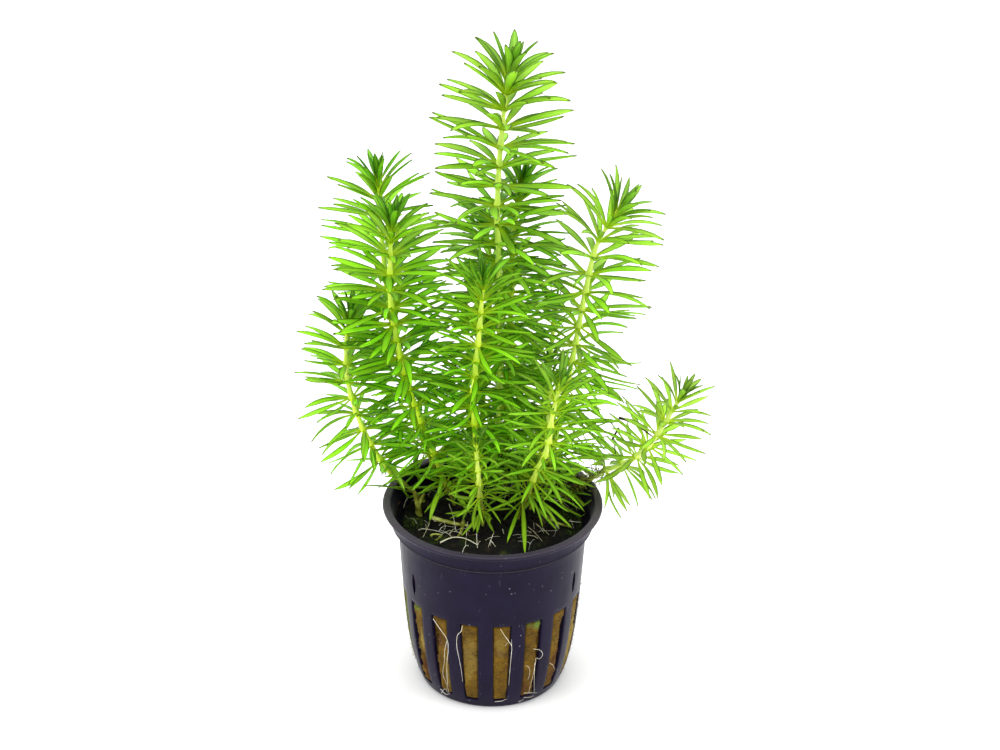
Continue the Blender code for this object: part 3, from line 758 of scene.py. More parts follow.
# Moss and loose fibres: short bent hairs, each a thin three-sided sliver, scattered over the plug
fur = {  # millimetres
    "perSquare": 3.4,
    "length": (0.7, 1.7),
    "lean": 1.15,  # radians off upright, at most
    "rows": 3,
    "sides": 3,
    "girth": 0.06,  # at its foot, as a share of its length
    "taper": 0.6,
    "bend": 0.35,
}


def sliverMesh():
    # a bent sliver one unit long, thick at its foot
    points = []
    for row in range(fur["rows"]):
        up = row / fur["rows"]
        girth = fur["girth"] * (1 - fur["taper"] * up)
        for corner in range(fur["sides"]):
            turn = corner * 2 * math.pi / fur["sides"]
            points.append((fur["bend"] * up * up + girth * math.cos(turn), girth * math.sin(turn), up))
    points.append((fur["bend"], 0.0, 1.0))
    mesh = bpy.data.meshes.new("sliver")
    mesh.from_pydata(points, [], taperedFaces(fur["rows"], fur["sides"]))
    return mesh


def furTree(sliver):
    tree, entry = newTree("scatteredFur", {
        "Density": "Float", "Shortest": "Float", "Longest": "Float", "Lean": "Float", "Seed": "Int",
        "Material": "Material"})
    amount = addNode(tree, "GeometryNodeInputNamedAttribute", {"Name": "fur"})
    density = addNode(tree, "ShaderNodeMath", {0: amount, 1: entry["Density"]}, operation="MULTIPLY")
    spots = addNode(tree, "GeometryNodeDistributePointsOnFaces", {
        "Mesh": entry["Geometry"], "Density": density, "Seed": entry["Seed"]})
    leanLeast = addNode(tree, "ShaderNodeMath", {0: entry["Lean"], 1: -1.0}, operation="MULTIPLY")
    tilts = []
    for offset in (1.0, 2.0):
        seed = addNode(tree, "ShaderNodeMath", {0: entry["Seed"], 1: offset}, operation="ADD")
        tilts.append(addNode(tree, "FunctionNodeRandomValue", {
            "Min": leanLeast, "Max": entry["Lean"], "Seed": seed}))
    spin = addNode(tree, "FunctionNodeRandomValue", {"Min": 0.0, "Max": 2 * math.pi, "Seed": entry["Seed"]})
    tilt = addNode(tree, "ShaderNodeCombineXYZ", {"X": tilts[0], "Y": tilts[1], "Z": spin})
    turned = addNode(tree, "FunctionNodeRotateRotation", {
        "Rotation": spots.outputs["Rotation"],
        "Rotate By": addNode(tree, "FunctionNodeEulerToRotation", {0: tilt})}, rotation_space="LOCAL")
    size = addNode(tree, "FunctionNodeRandomValue", {
        "Min": entry["Shortest"], "Max": entry["Longest"], "Seed": entry["Seed"]})
    thick = addNode(tree, "ShaderNodeMath", {0: amount, 1: 0.75, 2: 0.25}, operation="MULTIPLY_ADD")
    scale = addNode(tree, "ShaderNodeMath", {0: size, 1: thick}, operation="MULTIPLY")
    hair = addNode(tree, "GeometryNodeObjectInfo", {"Object": sliver}).outputs["Geometry"]
    hairs = addNode(tree, "GeometryNodeInstanceOnPoints", {
        "Points": spots.outputs["Points"], "Instance": hair, "Rotation": turned, "Scale": scale})
    smooth = addNode(tree, "GeometryNodeSetShadeSmooth", {0: addNode(
        tree, "GeometryNodeRealizeInstances", {0: hairs})})
    finished = addNode(tree, "GeometryNodeSetMaterial", {0: smooth, "Material": entry["Material"]})
    addNode(tree, "NodeGroupOutput", {0: finished})
    return tree


# Moss and mineral fibres, dull and fine: pale straw in the slots, olive green in the light on top
mossFibre, tree, shader = newMaterial("moss_and_fibre_fine", {"Roughness": 0.85, "Specular IOR Level": 0.2})
coords = addNode(tree, "ShaderNodeTexCoord").outputs["Object"]
patches = addNode(tree, "ShaderNodeTexNoise", {"Vector": coords, "Scale": 500.0, "Detail": 3.0})  # of 2 mm
straw = addNode(tree, "ShaderNodeValToRGB", {"Fac": patches}, stops=[
    (0.35, "#5b4a1e"), (0.5, "#8a7a3c"), (0.65, "#a59a60")])
green = addNode(tree, "ShaderNodeValToRGB", {"Fac": patches}, stops=[
    (0.35, "#10160a"), (0.5, "#2c3d12"), (0.68, "#66802a")])
furColour = paint(tree, straw.outputs["Color"], [(aboveRim(tree, coords), green.outputs["Color"])])
tree.links.new(furColour, shader.inputs["Base Color"])

sliver = addPiece("sliver_source", sliverMesh())
shortest, longest = fur["length"]
plugFur = runTree(furTree(sliver), woolPlug.data.copy(), "plug_moss_and_fibres", {
    "Density": fur["perSquare"] / mm ** 2, "Shortest": shortest * mm, "Longest": longest * mm,
    "Lean": fur["lean"], "Seed": 4, "Material": mossFibre})
bpy.data.objects.remove(sliver)
settle(plugFur)


# Threads: roots, old stems and fibres as thin tubes along a path
threadTaper = 0.6  # how much thinner the far end is, as a share


def threadTree():
    tree, entry = newTree("sweptThread", {"Sides": "Int", "Material": "Material"})
    girth = addNode(tree, "GeometryNodeInputNamedAttribute", {"Name": "girth"})
    tube = tubeAlong(tree, entry["Geometry"], entry["Sides"], girth)
    smooth = addNode(tree, "GeometryNodeSetShadeSmooth", {0: tube})
    plain = addNode(tree, "GeometryNodeRealizeInstances", {0: smooth})
    finished = addNode(tree, "GeometryNodeSetMaterial", {0: plain, "Material": entry["Material"]})
    addNode(tree, "NodeGroupOutput", {0: finished})
    return tree


def smoothPath(points, steps):
    # a Catmull-Rom curve through the points, as close points
    ends = [points[0] * 2 - points[1]] + list(points) + [points[-1] * 2 - points[-2]]
    path = []
    for start in range(len(points) - 1):
        p0, p1, p2, p3 = ends[start:start + 4]
        for step in range(steps):
            t = step / steps
            path.append(0.5 * (2 * p1 + (p2 - p0) * t + (2 * p0 - 5 * p1 + 4 * p2 - p3) * t ** 2
                               + (3 * p1 - p0 - 3 * p2 + p3) * t ** 3))
    return path + [points[-1].copy()]


def threadMesh(name, threads):
    # each thread is a path in millimetres and its radius, which tapers to the far end
    points, edges, rows = [], [], []
    for path, radius in threads:
        for number, place in enumerate(path):
            if number:
                edges.append((len(points) - 1, len(points)))
            points.append(place * mm)
            rows.append({"girth": radius * mm * (1 - threadTaper * number / len(path))})
    return pointMesh(name, points, edges, rows)


sweptThread = threadTree()

# Leaf and stem of the living plant
leaf = {  # radians, shares
    "fold": 0.38,  # how far the edges stand above the midrib, as a share of half the width
    "section": ((-0.5, 0.2), (0.0, 0.06), (0.5, 0.2)),  # across, up: the upper face between the edges
    "keel": -0.3,
    "slimness": 0.45,  # share of its height that is left where the leaf is narrow
    "outline": ((0.0, 0.34), (0.07, 0.37), (0.17, 0.52), (0.3, 0.79), (0.45, 0.97), (0.6, 1.0),
                (0.77, 0.8), (0.9, 0.45), (0.968, 0.18)),  # share along, share of the full width
    "tipUp": 0.05,
    "rootDepth": 0.7,  # how far out in the node the leaf begins, as a share of the node's girth
    "steepest": 1.5,
    "towardsLight": 0.27,  # how much more they rise in front, and less behind
    "spread": {  # by chance, least and most
        "turn": (-0.14, 0.14), "rise": (-0.15, 0.15), "arch": (-0.36, 0.34), "twist": (-0.34, 0.34),
        "sway": (-0.12, 0.12), "long": (-0.17, 0.04), "wide": (-0.15, 0.12),
    },
}
restOn = {  # millimetres: how high leaves are held at each distance from the pot's axis
    "rim": (21.3, 23.4, 43.0, 47.6),  # rises from the wool to the lip: from, to, low, high
    "lip": (26.2, 28.0, 47.6, 0.0),  # and falls away outside it
}
shootForm = {  # millimetres, degrees
    "cut": 0.12,  # how much lower the tip stands than the CAD stem's, as a share of the longest leaf
    "spacing": 4.75,  # between grown whorls
    "budding": (0.85, 3.2),  # how much closer the youngest stand, and over what length that fades
    "sinksFrom": 14.0,  # distance below the tip from which the leaves sink
    "lowest": -50.0,
    "wild": (0.75, 30.0),  # how strongly chance works at the tip, and over what length it grows by one
    "slimness": 0.55,
    "crownLength": 16.0,
    "stemRadius": 0.58,
    "nodeRadius": 1.0,
    "bell": 1.0,  # length of the stem's widening above a node
    "shoulder": 0.4,  # and below it
    "bareFlare": 0.4,  # how much of that is left where the leaves have gone
    "footRadius": 0.55,
    "footSlim": (0.38, 16.0),  # how much thinner the stem gets at its foot, and over what length
    "footDepth": 2.0,  # in the wool
    "smoothness": 12,
    "pointEvery": 0.4,
    "sides": 10,
}
growth = (  # by distance below the tip: leaves a whorl, rise, bend outwards, share of full length and width
    (0.0, 4, 76, 6, 0.47, 0.66),
    (0.7, 4, 60, 24, 0.64, 0.85),
    (2.2, 7, 43, 32, 0.78, 1.0),
    (5.0, 10, 28, 26, 0.89, 1.0),
    (9.0, 12, 18, 17, 0.97, 1.0),
    (14.0, 12, 11, 9, 1.0, 1.0),
    (32.0, 12, 9, 6, 1.0, 0.95),
    (65.0, 12, 7, 10, 0.92, 0.7),
    (300.0, 12, 5, 14, 0.86, 0.64),
)


def bladeMesh():
    # one leaf of unit size: place holds its share along, its offset sideways and its height,
    # blade the share along, the share across and 1 on its upper face
    section = [(-1.0, leaf["fold"], 1)] + [(across, up, 1) for across, up in leaf["section"]]
    section += [(1.0, leaf["fold"], 1), (0.0, leaf["keel"], 0)]
    places, blades = [], []
    for along, width in leaf["outline"]:
        slim = leaf["slimness"] + (1 - leaf["slimness"]) * width
        for across, up, upper in section:
            places.append((along, across * width, up * slim))
            blades.append((along, across, upper))
    places.append((1.0, 0.0, leaf["tipUp"]))
    blades.append((1.0, 0.0, 1))
    mesh = bpy.data.meshes.new("blade")
    mesh.from_pydata(places, [], taperedFaces(len(leaf["outline"]), len(section)))
    addAttribute(mesh, "place", "FLOAT_VECTOR", places)
    addAttribute(mesh, "blade", "FLOAT_VECTOR", blades)
    return mesh


def bendLeaf(tree, read):
    # where a point of a leaf goes: its cross-section twists, then follows the arch, out from the leaf's root
    place = addNode(tree, "ShaderNodeSeparateXYZ", {0: read["place"]})
    along = place.outputs["X"]
    side, up = (addNode(tree, "ShaderNodeMath", {0: place.outputs[axis], 1: read["wide"]},
                        operation="MULTIPLY") for axis in "YZ")
    twisted = addNode(tree, "ShaderNodeVectorRotate", {
        "Vector": addNode(tree, "ShaderNodeCombineXYZ", {"Y": side, "Z": up}), "Axis": (1, 0, 0),
        "Angle": addNode(tree, "ShaderNodeMath", {0: along, 1: read["twist"]}, operation="MULTIPLY")},
        rotation_type="AXIS_ANGLE")
    bend = addNode(tree, "ShaderNodeMath", {0: along, 1: read["arch"]}, operation="MULTIPLY")
    tilted = addNode(tree, "ShaderNodeVectorRotate", {
        "Vector": twisted, "Axis": (0, -1, 0), "Angle": bend}, rotation_type="AXIS_ANGLE")
    # an arc of this bend, by the first terms of its sine and cosine
    square = addNode(tree, "ShaderNodeMath", {0: bend, 1: bend}, operation="MULTIPLY")
    outShare = addNode(tree, "ShaderNodeMath", {0: square, 1: -1 / 6, 2: 1.0}, operation="MULTIPLY_ADD")
    upEven = addNode(tree, "ShaderNodeMath", {0: square, 1: -1 / 24, 2: 0.5}, operation="MULTIPLY_ADD")
    upShare = addNode(tree, "ShaderNodeMath", {0: upEven, 1: bend}, operation="MULTIPLY")
    sway = addNode(tree, "ShaderNodeMath", {0: along, 1: read["sway"]}, operation="MULTIPLY")
    spine = addNode(tree, "ShaderNodeVectorMath", {
        0: addNode(tree, "ShaderNodeCombineXYZ", {"X": outShare, "Y": sway, "Z": upShare}),
        "Scale": addNode(tree, "ShaderNodeMath", {0: along, 1: read["long"]}, operation="MULTIPLY")},
        operation="SCALE")
    bent = addNode(tree, "ShaderNodeVectorMath", {0: spine, 1: tilted}, operation="ADD")
    stood = addNode(tree, "FunctionNodeRotateVector", {"Vector": bent, "Rotation": read["spin"]})
    free = addNode(tree, "ShaderNodeVectorMath", {0: stood, 1: read["root"]}, operation="ADD")
    return free, up


def holdUp(tree, free, up):
    # a leaf lies on the plug and over the lip, and passes through neither
    spot = addNode(tree, "ShaderNodeSeparateXYZ", {0: free})
    fromAxis = addNode(tree, "ShaderNodeVectorMath", {0: free, 1: (1, 1, 0)}, operation="MULTIPLY")
    distance = addNode(tree, "ShaderNodeVectorMath", {0: fromAxis}, operation="LENGTH").outputs["Value"]
    slopes = []
    for near, far, low, high in restOn.values():
        slopes.append(addNode(tree, "ShaderNodeMapRange", {
            "Value": distance, "From Min": near * mm, "From Max": far * mm,
            "To Min": low * mm, "To Max": high * mm}))
    ground = addNode(tree, "ShaderNodeMath", {0: slopes[0], 1: slopes[1]}, operation="MINIMUM")
    groundUp = addNode(tree, "ShaderNodeMath", {0: ground, 1: up}, operation="ADD")
    held = addNode(tree, "ShaderNodeMath", {0: spot.outputs["Z"], 1: groundUp}, operation="MAXIMUM")
    return addNode(tree, "ShaderNodeCombineXYZ", {"X": spot.outputs["X"], "Y": spot.outputs["Y"], "Z": held})


def shootTree(bladeHolder):
    tree, entry = newTree("whorledShoot", {
        "Stem sides": "Int", "Seed": "Int", "Leaf material": "Material", "Stem material": "Material"})
    read = {}
    for kind, names in (("FLOAT", "girth start rise long arch wide wild twist sway"),
                        ("FLOAT_VECTOR", "heading place root"), ("BOOLEAN", "whorl"), ("INT", "leaves"),
                        ("QUATERNION", "spin")):
        for name in names.split():
            read[name] = addNode(tree, "GeometryNodeInputNamedAttribute", {"Name": name}, data_type=kind)
    tube = tubeAlong(tree, entry["Geometry"], entry["Stem sides"], read["girth"])
    # one point for each leaf of each whorl, with its own chance
    whorls = addNode(tree, "GeometryNodeMeshToPoints", {
        "Mesh": entry["Geometry"], "Selection": read["whorl"]})
    copies = addNode(tree, "GeometryNodeDuplicateElements", {
        "Geometry": whorls, "Amount": read["leaves"]}, domain="POINT")
    spread = {}
    for number, (name, (least, most)) in enumerate(leaf["spread"].items()):
        seed = addNode(tree, "ShaderNodeMath", {0: entry["Seed"], 1: 10.0 * number}, operation="ADD")
        chance = addNode(tree, "FunctionNodeRandomValue", {"Min": least, "Max": most, "Seed": seed})
        strength = 1.0 if name in ("long", "wide") else read["wild"]
        spread[name] = addNode(tree, "ShaderNodeMath", {0: chance, 1: strength}, operation="MULTIPLY")
    tone = addNode(tree, "FunctionNodeRandomValue", {"Min": 0.0, "Max": 1.0, "Seed": entry["Seed"]})
    # how far round the stem the leaf stands
    step = addNode(tree, "ShaderNodeMath", {0: 2 * math.pi, 1: read["leaves"]}, operation="DIVIDE")
    turnEven = addNode(tree, "ShaderNodeMath", {
        0: copies.outputs["Duplicate Index"], 1: step, 2: read["start"]}, operation="MULTIPLY_ADD")
    turn = addNode(tree, "ShaderNodeMath", {0: turnEven, 1: spread["turn"]}, operation="ADD")
    front = (0, -1, 0)
    partAlong = addNode(tree, "ShaderNodeVectorMath", {0: front, 1: read["heading"]}, operation="PROJECT")
    square = addNode(tree, "ShaderNodeVectorMath", {0: addNode(
        tree, "ShaderNodeVectorMath", {0: front, 1: partAlong}, operation="SUBTRACT")}, operation="NORMALIZE")
    outwards = addNode(tree, "ShaderNodeVectorRotate", {
        "Vector": square, "Axis": read["heading"], "Angle": turn}, rotation_type="AXIS_ANGLE")
    # how far it rises and how it bends
    riseSpread = addNode(tree, "ShaderNodeMath", {0: read["rise"], 1: spread["rise"]}, operation="ADD")
    facing = addNode(tree, "ShaderNodeVectorMath", {0: outwards, 1: front}, operation="DOT_PRODUCT")
    riseLit = addNode(tree, "ShaderNodeMath", {
        0: facing.outputs["Value"], 1: leaf["towardsLight"], 2: riseSpread}, operation="MULTIPLY_ADD")
    rise = addNode(tree, "ShaderNodeMath", {0: riseLit, 1: leaf["steepest"]}, operation="MINIMUM")
    arch = addNode(tree, "ShaderNodeMath", {0: read["arch"], 1: spread["arch"]}, operation="ADD")
    riseFirst = addNode(tree, "ShaderNodeMath", {0: arch, 1: -0.5, 2: rise}, operation="MULTIPLY_ADD")
    # its own axes: along it, and out of its upper face
    hinge = addNode(tree, "ShaderNodeVectorMath", {
        0: outwards, 1: read["heading"]}, operation="CROSS_PRODUCT")
    along = addNode(tree, "ShaderNodeVectorRotate", {
        "Vector": outwards, "Axis": hinge, "Angle": riseFirst}, rotation_type="AXIS_ANGLE")
    above = addNode(tree, "ShaderNodeVectorMath", {0: hinge, 1: along}, operation="CROSS_PRODUCT")
    spin = addNode(tree, "FunctionNodeAxesToRotation", {
        0: along, 1: above}, primary_axis="X", secondary_axis="Z")
    long, wide = (addNode(tree, "ShaderNodeMath", {0: spread[name], 1: read[name], 2: read[name]},
                          operation="MULTIPLY_ADD") for name in ("long", "wide"))
    # its root sits just inside the node
    rootOut = addNode(tree, "ShaderNodeMath", {0: read["girth"], 1: leaf["rootDepth"]}, operation="MULTIPLY")
    rootOffset = addNode(tree, "ShaderNodeVectorMath", {0: outwards, "Scale": rootOut}, operation="SCALE")
    root = addNode(tree, "ShaderNodeVectorMath", {
        0: addNode(tree, "GeometryNodeInputPosition"), 1: rootOffset}, operation="ADD")
    stored = copies
    for name, kind, value in (
            ("spin", "QUATERNION", spin), ("root", "FLOAT_VECTOR", root), ("long", "FLOAT", long),
            ("wide", "FLOAT", wide), ("arch", "FLOAT", arch), ("twist", "FLOAT", spread["twist"]),
            ("sway", "FLOAT", spread["sway"]), ("tone", "FLOAT", tone)):
        stored = addNode(tree, "GeometryNodeStoreNamedAttribute", {
            "Geometry": stored, "Name": name, "Value": value}, data_type=kind, domain="POINT")
    blade = addNode(tree, "GeometryNodeObjectInfo", {"Object": bladeHolder}).outputs["Geometry"]
    leaves = addNode(tree, "GeometryNodeInstanceOnPoints", {"Points": stored, "Instance": blade})
    plain = addNode(tree, "GeometryNodeRealizeInstances", {0: leaves})
    free, up = bendLeaf(tree, read)
    grownLeaves = addNode(tree, "GeometryNodeSetPosition", {
        "Geometry": plain, "Position": holdUp(tree, free, up)})
    green = addNode(tree, "GeometryNodeSetMaterial", {0: grownLeaves, "Material": entry["Leaf material"]})
    stem = addNode(tree, "GeometryNodeSetMaterial", {0: tube, "Material": entry["Stem material"]})
    whole = addNode(tree, "GeometryNodeJoinGeometry", {0: [green, stem]})
    addNode(tree, "NodeGroupOutput", {0: addNode(tree, "GeometryNodeSetShadeSmooth", {0: whole})})
    return tree


def pathAt(path, marks, distance):
    distance = min(max(distance, 0.0), marks[-1])
    step = 0
    while distance > marks[step + 1] and step < len(path) - 2:
        step += 1
    part = (distance - marks[step]) / (marks[step + 1] - marks[step])
    return path[step].lerp(path[step + 1], part), (path[step + 1] - path[step]).normalized()


def fading(pair, age):
    size, length = pair
    return size * math.exp(-age / length)


def grown(age, column):
    # a value from the growth table at this distance below the tip
    for above, below in zip(growth, growth[1:]):
        if age <= below[0]:
            return above[column] + (below[column] - above[column]) * (age - above[0]) / (below[0] - above[0])


def stemMesh(name, foot, points, longest, width, bare, sink, wild, pale, crowd):
    # the course of the CAD stem, a little shorter, with what the tree needs at each of its points
    form = shootForm
    base = Vector((foot[0], foot[1], plug["top"] + plug["mound"]))
    path = smoothPath([base] + [Vector(point) for point in points], form["smoothness"])
    marks = [0.0]
    for near, far in zip(path, path[1:]):
        marks.append(marks[-1] + (far - near).length)
    length = marks[-1] - form["cut"] * longest
    nodes = [0.0]
    while nodes[-1] < length:
        nodes.append(nodes[-1] + form["spacing"] * (1 - fading(form["budding"], nodes[-1])))
    nodes.pop()
    chance = random.Random(name)
    starts = {age: chance.uniform(0.0, math.pi) for age in nodes if length - age > bare}
    every = form["pointEvery"]
    ages = sorted({every * step for step in range(int(length / every) + 1)} | set(nodes))
    places, rows = [], []
    wildFirst, wildLength = form["wild"]
    thinner, thinOver = form["footSlim"]
    for age in ages:
        place, heading = pathAt(path, marks, length - age)
        flare = 0.0
        for node in nodes:
            gap = node - age  # positive above the node, where the stem widens like a bell towards it
            below = math.exp(-(gap / form["shoulder"]) ** 2)
            flare = max(flare, math.exp(-gap / form["bell"]) if gap >= 0 else below)
        if length - age < bare:
            flare *= form["bareFlare"]
        slim = form["slimness"] + (1 - form["slimness"]) * min(1.0, age / form["crownLength"])
        slim *= 1 - thinner * max(0.0, 1 - (length - age) / thinOver)
        girth = form["stemRadius"] + (form["nodeRadius"] - form["stemRadius"]) * flare
        rise = max(form["lowest"], grown(age, 2) - sink * max(0.0, age - form["sinksFrom"]))
        rows.append({
            "girth": girth * slim * mm, "whorl": age in starts, "leaves": round(grown(age, 1) * crowd),
            "down": age, "heading": heading, "start": starts.get(age, 0.0), "flare": flare,
            "foot": length - age, "rise": math.radians(rise), "long": longest * grown(age, 4) * mm,
            "wide": width / 2 * grown(age, 5) * mm, "arch": -math.radians(grown(age, 3)),
            "wild": wild * (wildFirst + age / wildLength), "pale": pale})
        places.append(place * mm)
    places.append(Vector((foot[0], foot[1], plug["top"] - form["footDepth"])) * mm)
    rows.append({**rows[-1], "whorl": False, "girth": form["footRadius"] * mm})
    return pointMesh(name, places, [(step, step + 1) for step in range(len(places) - 1)], rows)


# Living leaf, a thin waxy skin over wet tissue: light shines through it, so it glows from both sides
leafFinish = {
    # the first tones at the tip are darker: the young heart's deeper green, partly painted shade among its
    # crowded leaves
    "byAge": ((0.0, "#58a020"), (0.02, "#7cc024"), (0.06, "#a2d82a"), (0.25, "#aee82e"), (0.6, "#b0ee30"),
              (1.0, "#b0ee30")),  # from the tip to this distance below it in millimetres
    "oldest": 70.0,
    "tones": (0.75, 1.17),  # darkest and lightest leaf, by chance
    "pale": "#d2dc74",
    "nearFoot": "#b8c02c",
    "margin": "#528618",
    "midrib": "#c8f046",
    "base": "#def23c",
    "tip": "#4a3226",
    "glow": 0.55,
}
leafGreen, tree, shader = newMaterial(
    "leaf_living_waxy", {"IOR": 1.42, "Roughness": 0.4, "Specular IOR Level": 0.38})
blade = addNode(tree, "ShaderNodeSeparateXYZ", {0: addNode(
    tree, "ShaderNodeAttribute", attribute_name="blade").outputs["Vector"]})
edge = addNode(tree, "ShaderNodeMath", {0: blade.outputs["Y"]}, operation="ABSOLUTE")
read = readAttributes(tree, ("down", "tone", "foot", "pale"))
ageShare = addNode(tree, "ShaderNodeMapRange", {
    "Value": read["down"], "From Min": 0.0, "From Max": leafFinish["oldest"]})
byAge = addNode(tree, "ShaderNodeValToRGB", {"Fac": ageShare}, stops=leafFinish["byAge"])
darkest, lightest = leafFinish["tones"]
toneScale = addNode(tree, "ShaderNodeMapRange", {
    "Value": read["tone"], "To Min": darkest, "To Max": lightest})
nearFoot = addNode(tree, "ShaderNodeMapRange", {
    "Value": read["foot"], "From Min": 3.0, "From Max": 18.0, "To Min": 0.5, "To Max": 0.0})
margin = addNode(tree, "ShaderNodeMapRange", {
    "Value": edge, "From Min": 0.58, "From Max": 0.96, "To Min": 0.0, "To Max": 0.95},
    interpolation_type="SMOOTHSTEP")
midrib = addNode(tree, "ShaderNodeMapRange", {
    "Value": edge, "From Min": 0.0, "From Max": 0.3, "To Min": 0.5, "To Max": 0.0},
    interpolation_type="SMOOTHSTEP")
base = addNode(tree, "ShaderNodeMapRange", {
    "Value": blade.outputs["X"], "From Min": 0.04, "From Max": 0.34, "To Min": 0.95, "To Max": 0.0})
point = addNode(tree, "ShaderNodeMapRange", {
    "Value": blade.outputs["X"], "From Min": 0.92, "From Max": 0.99, "To Min": 0.0, "To Max": 0.85})
shown = paint(tree, byAge.outputs["Color"], [
    (read["pale"], leafFinish["pale"]), (nearFoot, leafFinish["nearFoot"])])
toned = addNode(tree, "ShaderNodeVectorMath", {0: shown, "Scale": toneScale}, operation="SCALE")
shown = paint(tree, toned, [
    (margin, leafFinish["margin"]), (midrib, leafFinish["midrib"]), (base, leafFinish["base"]),
    (point, leafFinish["tip"])])
tree.links.new(shown, shader.inputs["Base Color"])
glow = addNode(tree, "ShaderNodeBsdfTranslucent", {"Color": shown})
both = addNode(tree, "ShaderNodeMixShader", {0: leafFinish["glow"], 1: shader, 2: glow})
tree.links.new(both.outputs[0], tree.nodes["Material Output"].inputs["Surface"])

# Living stem, smooth and wet: yellow where a whorl stands on it, olive brown at its foot
stemFinish = {
    "young": "#e4f670",
    "grown": "#d8fa30",
    "node": "#e2ff14",
    "pale": "#e0ecae",
    "foot": ((0.35, "#66601c"), (0.65, "#a3b034")),
    "footScale": 700.0,  # mottled in spots of 1.4 mm
}
stemGreen, tree, shader = newMaterial("stem_living_smooth", {
    "IOR": 1.42, "Roughness": 0.38, "Specular IOR Level": 0.35, "Subsurface Weight": 0.15,
    "Subsurface Radius": (0.6, 1.0, 0.15), "Subsurface Scale": 0.001})
read = readAttributes(tree, ("flare", "foot", "down", "pale"))
agedShare = addNode(tree, "ShaderNodeMapRange", {"Value": read["down"], "From Min": 10.0, "From Max": 45.0})
footShare = addNode(tree, "ShaderNodeMapRange", {
    "Value": read["foot"], "From Min": 5.0, "From Max": 18.0, "To Min": 1.0, "To Max": 0.0})
coords = addNode(tree, "ShaderNodeTexCoord").outputs["Object"]
mottle = addNode(tree, "ShaderNodeTexNoise", {
    "Vector": coords, "Scale": stemFinish["footScale"], "Detail": 3.0})
footTone = addNode(tree, "ShaderNodeValToRGB", {"Fac": mottle}, stops=stemFinish["foot"])
shown = paint(tree, stemFinish["young"], [
    (agedShare, stemFinish["grown"]), (read["flare"], stemFinish["node"]), (read["pale"], stemFinish["pale"]),
    (footShare, footTone.outputs["Color"])])
tree.links.new(shown, shader.inputs["Base Color"])

shoots = (  # name, foot on the plug, points along the stem, longest leaf, its width, bare length,
    # sink for each mm, strength of chance, paleness, share of the full number of leaves
    ("shoot_tall_centre", (0.5, 9.0), ((1.2, 7.0, 68), (1.2, 5.6, 97), (0.4, 5.0, 122), (1.6, 4.3, 144),
                                       (3.2, 3.9, 155)), 16.8, 2.35, 14, 0.35, 1.0, 0.22, 1.0),
    ("shoot_tall_left", (-9.0, 5.0), ((-15, 3.2, 61), (-20.3, 1.0, 79), (-23.3, -2.5, 99), (-23.4, -4.8, 112),
                                      (-22.6, -6.0, 123)), 14.9, 2.0, 4, 0.15, 1.0, 0.0, 1.0),
    ("shoot_tall_right", (12.0, 8.0), ((15.5, 7.5, 65), (18.5, 6.0, 84), (20.5, 4.3, 99), (23.0, 3.0, 112.5),
                                       (28.3, 2.0, 123)), 16.0, 1.75, 5, 0.45, 1.25, 0.22, 1.0),
    ("shoot_middle_front", (-2.5, 3.0), ((-4.0, -2.0, 64), (-4.7, -4.2, 77), (-3.4, -8.5, 95.5),
                                         (-2.4, -12.0, 111.5)), 13.8, 1.5, 9, 0.3, 1.3, 0.0, 1.0),
    ("shoot_low_right_front", (6.0, 0.0), ((8.1, -2.5, 50), (9.8, -5.0, 57), (12.4, -8.5, 66),
                                           (13.5, -11.5, 77), (15.4, -14.0, 87)),
     13.2, 1.2, 9, 0.3, 1.4, 0.12, 0.9),
    ("shoot_leaning_right", (16.5, 7.8), ((25.5, 6.2, 51.5), (30.1, 4.5, 54.5), (34.5, 2.3, 59),
                                          (39.0, -1.0, 67.5), (43.5, -4.0, 79)),
     12.2, 1.4, 14, 0.9, 1.2, 0.35, 0.9),
    ("shoot_low_left", (-16.5, 7.5), ((-20.8, 6.2, 47.5), (-26.0, 5.0, 54), (-30.5, 3.6, 64),
                                      (-33.5, 1.8, 76), (-34.0, 0.8, 87), (-32.8, 0, 97)),
     12.6, 1.6, 12, 0.8, 1.3, 0.05, 1.0),
    ("shoot_tall_back_left", (-11.0, 11.0), ((-18.5, 11.5, 62), (-24.0, 12.0, 88), (-26.3, 12.8, 112),
                                             (-27.0, 13.5, 125)), 14.5, 1.7, 5, 0.4, 1.2, 0.0, 1.0),
    ("shoot_short_front", (-2.2, -3.0), ((-3.0, -7.0, 53.5), (-3.3, -9.0, 59), (-4.0, -12.5, 70)),
     9.0, 0.95, 5, 0.3, 2.3, 0.1, 1.0),
    ("shoot_behind_centre", (3.0, 13.0), ((3.4, 12.0, 67), (3.8, 12.2, 93), (4.2, 12.5, 111),
                                          (6.0, 12.5, 125)),
     13.5, 1.6, 7, 0.5, 1.3, 0.0, 1.0),
    ("shoot_behind_left", (-4.0, 14.5), ((-2.5, 17.0, 66), (-1.4, 19.0, 87), (-1.0, 20.0, 100),
                                         (-2.9, 20.0, 110)), 11.9, 1.45, 6, 0.5, 1.3, 0.0, 1.0),
    ("shoot_behind_right", (9.5, 13.5), ((10.5, 15.0, 57), (12.8, 17.0, 71), (13.8, 18.5, 83),
                                         (14.1, 19.0, 91)),
     11.5, 1.1, 5, 0.6, 1.3, 0.1, 0.5),
    ("shoot_short_right", (9.0, 4.5), ((11.0, 5.5, 55), (12.6, 6.2, 66), (13.0, 6.0, 76), (12.4, 5.5, 83)),
     10.5, 1.0, 5, 0.5, 1.7, 0.1, 0.6),
)
bladeHolder = addPiece("blade_source", bladeMesh())
whorledShoot = shootTree(bladeHolder)
for number, (name, *form) in enumerate(shoots):
    settle(runTree(whorledShoot, stemMesh(name, *form), name + "_leafy", {
        "Stem sides": shootForm["sides"], "Seed": number + 1, "Leaf material": leafGreen,
        "Stem material": stemGreen}), name)

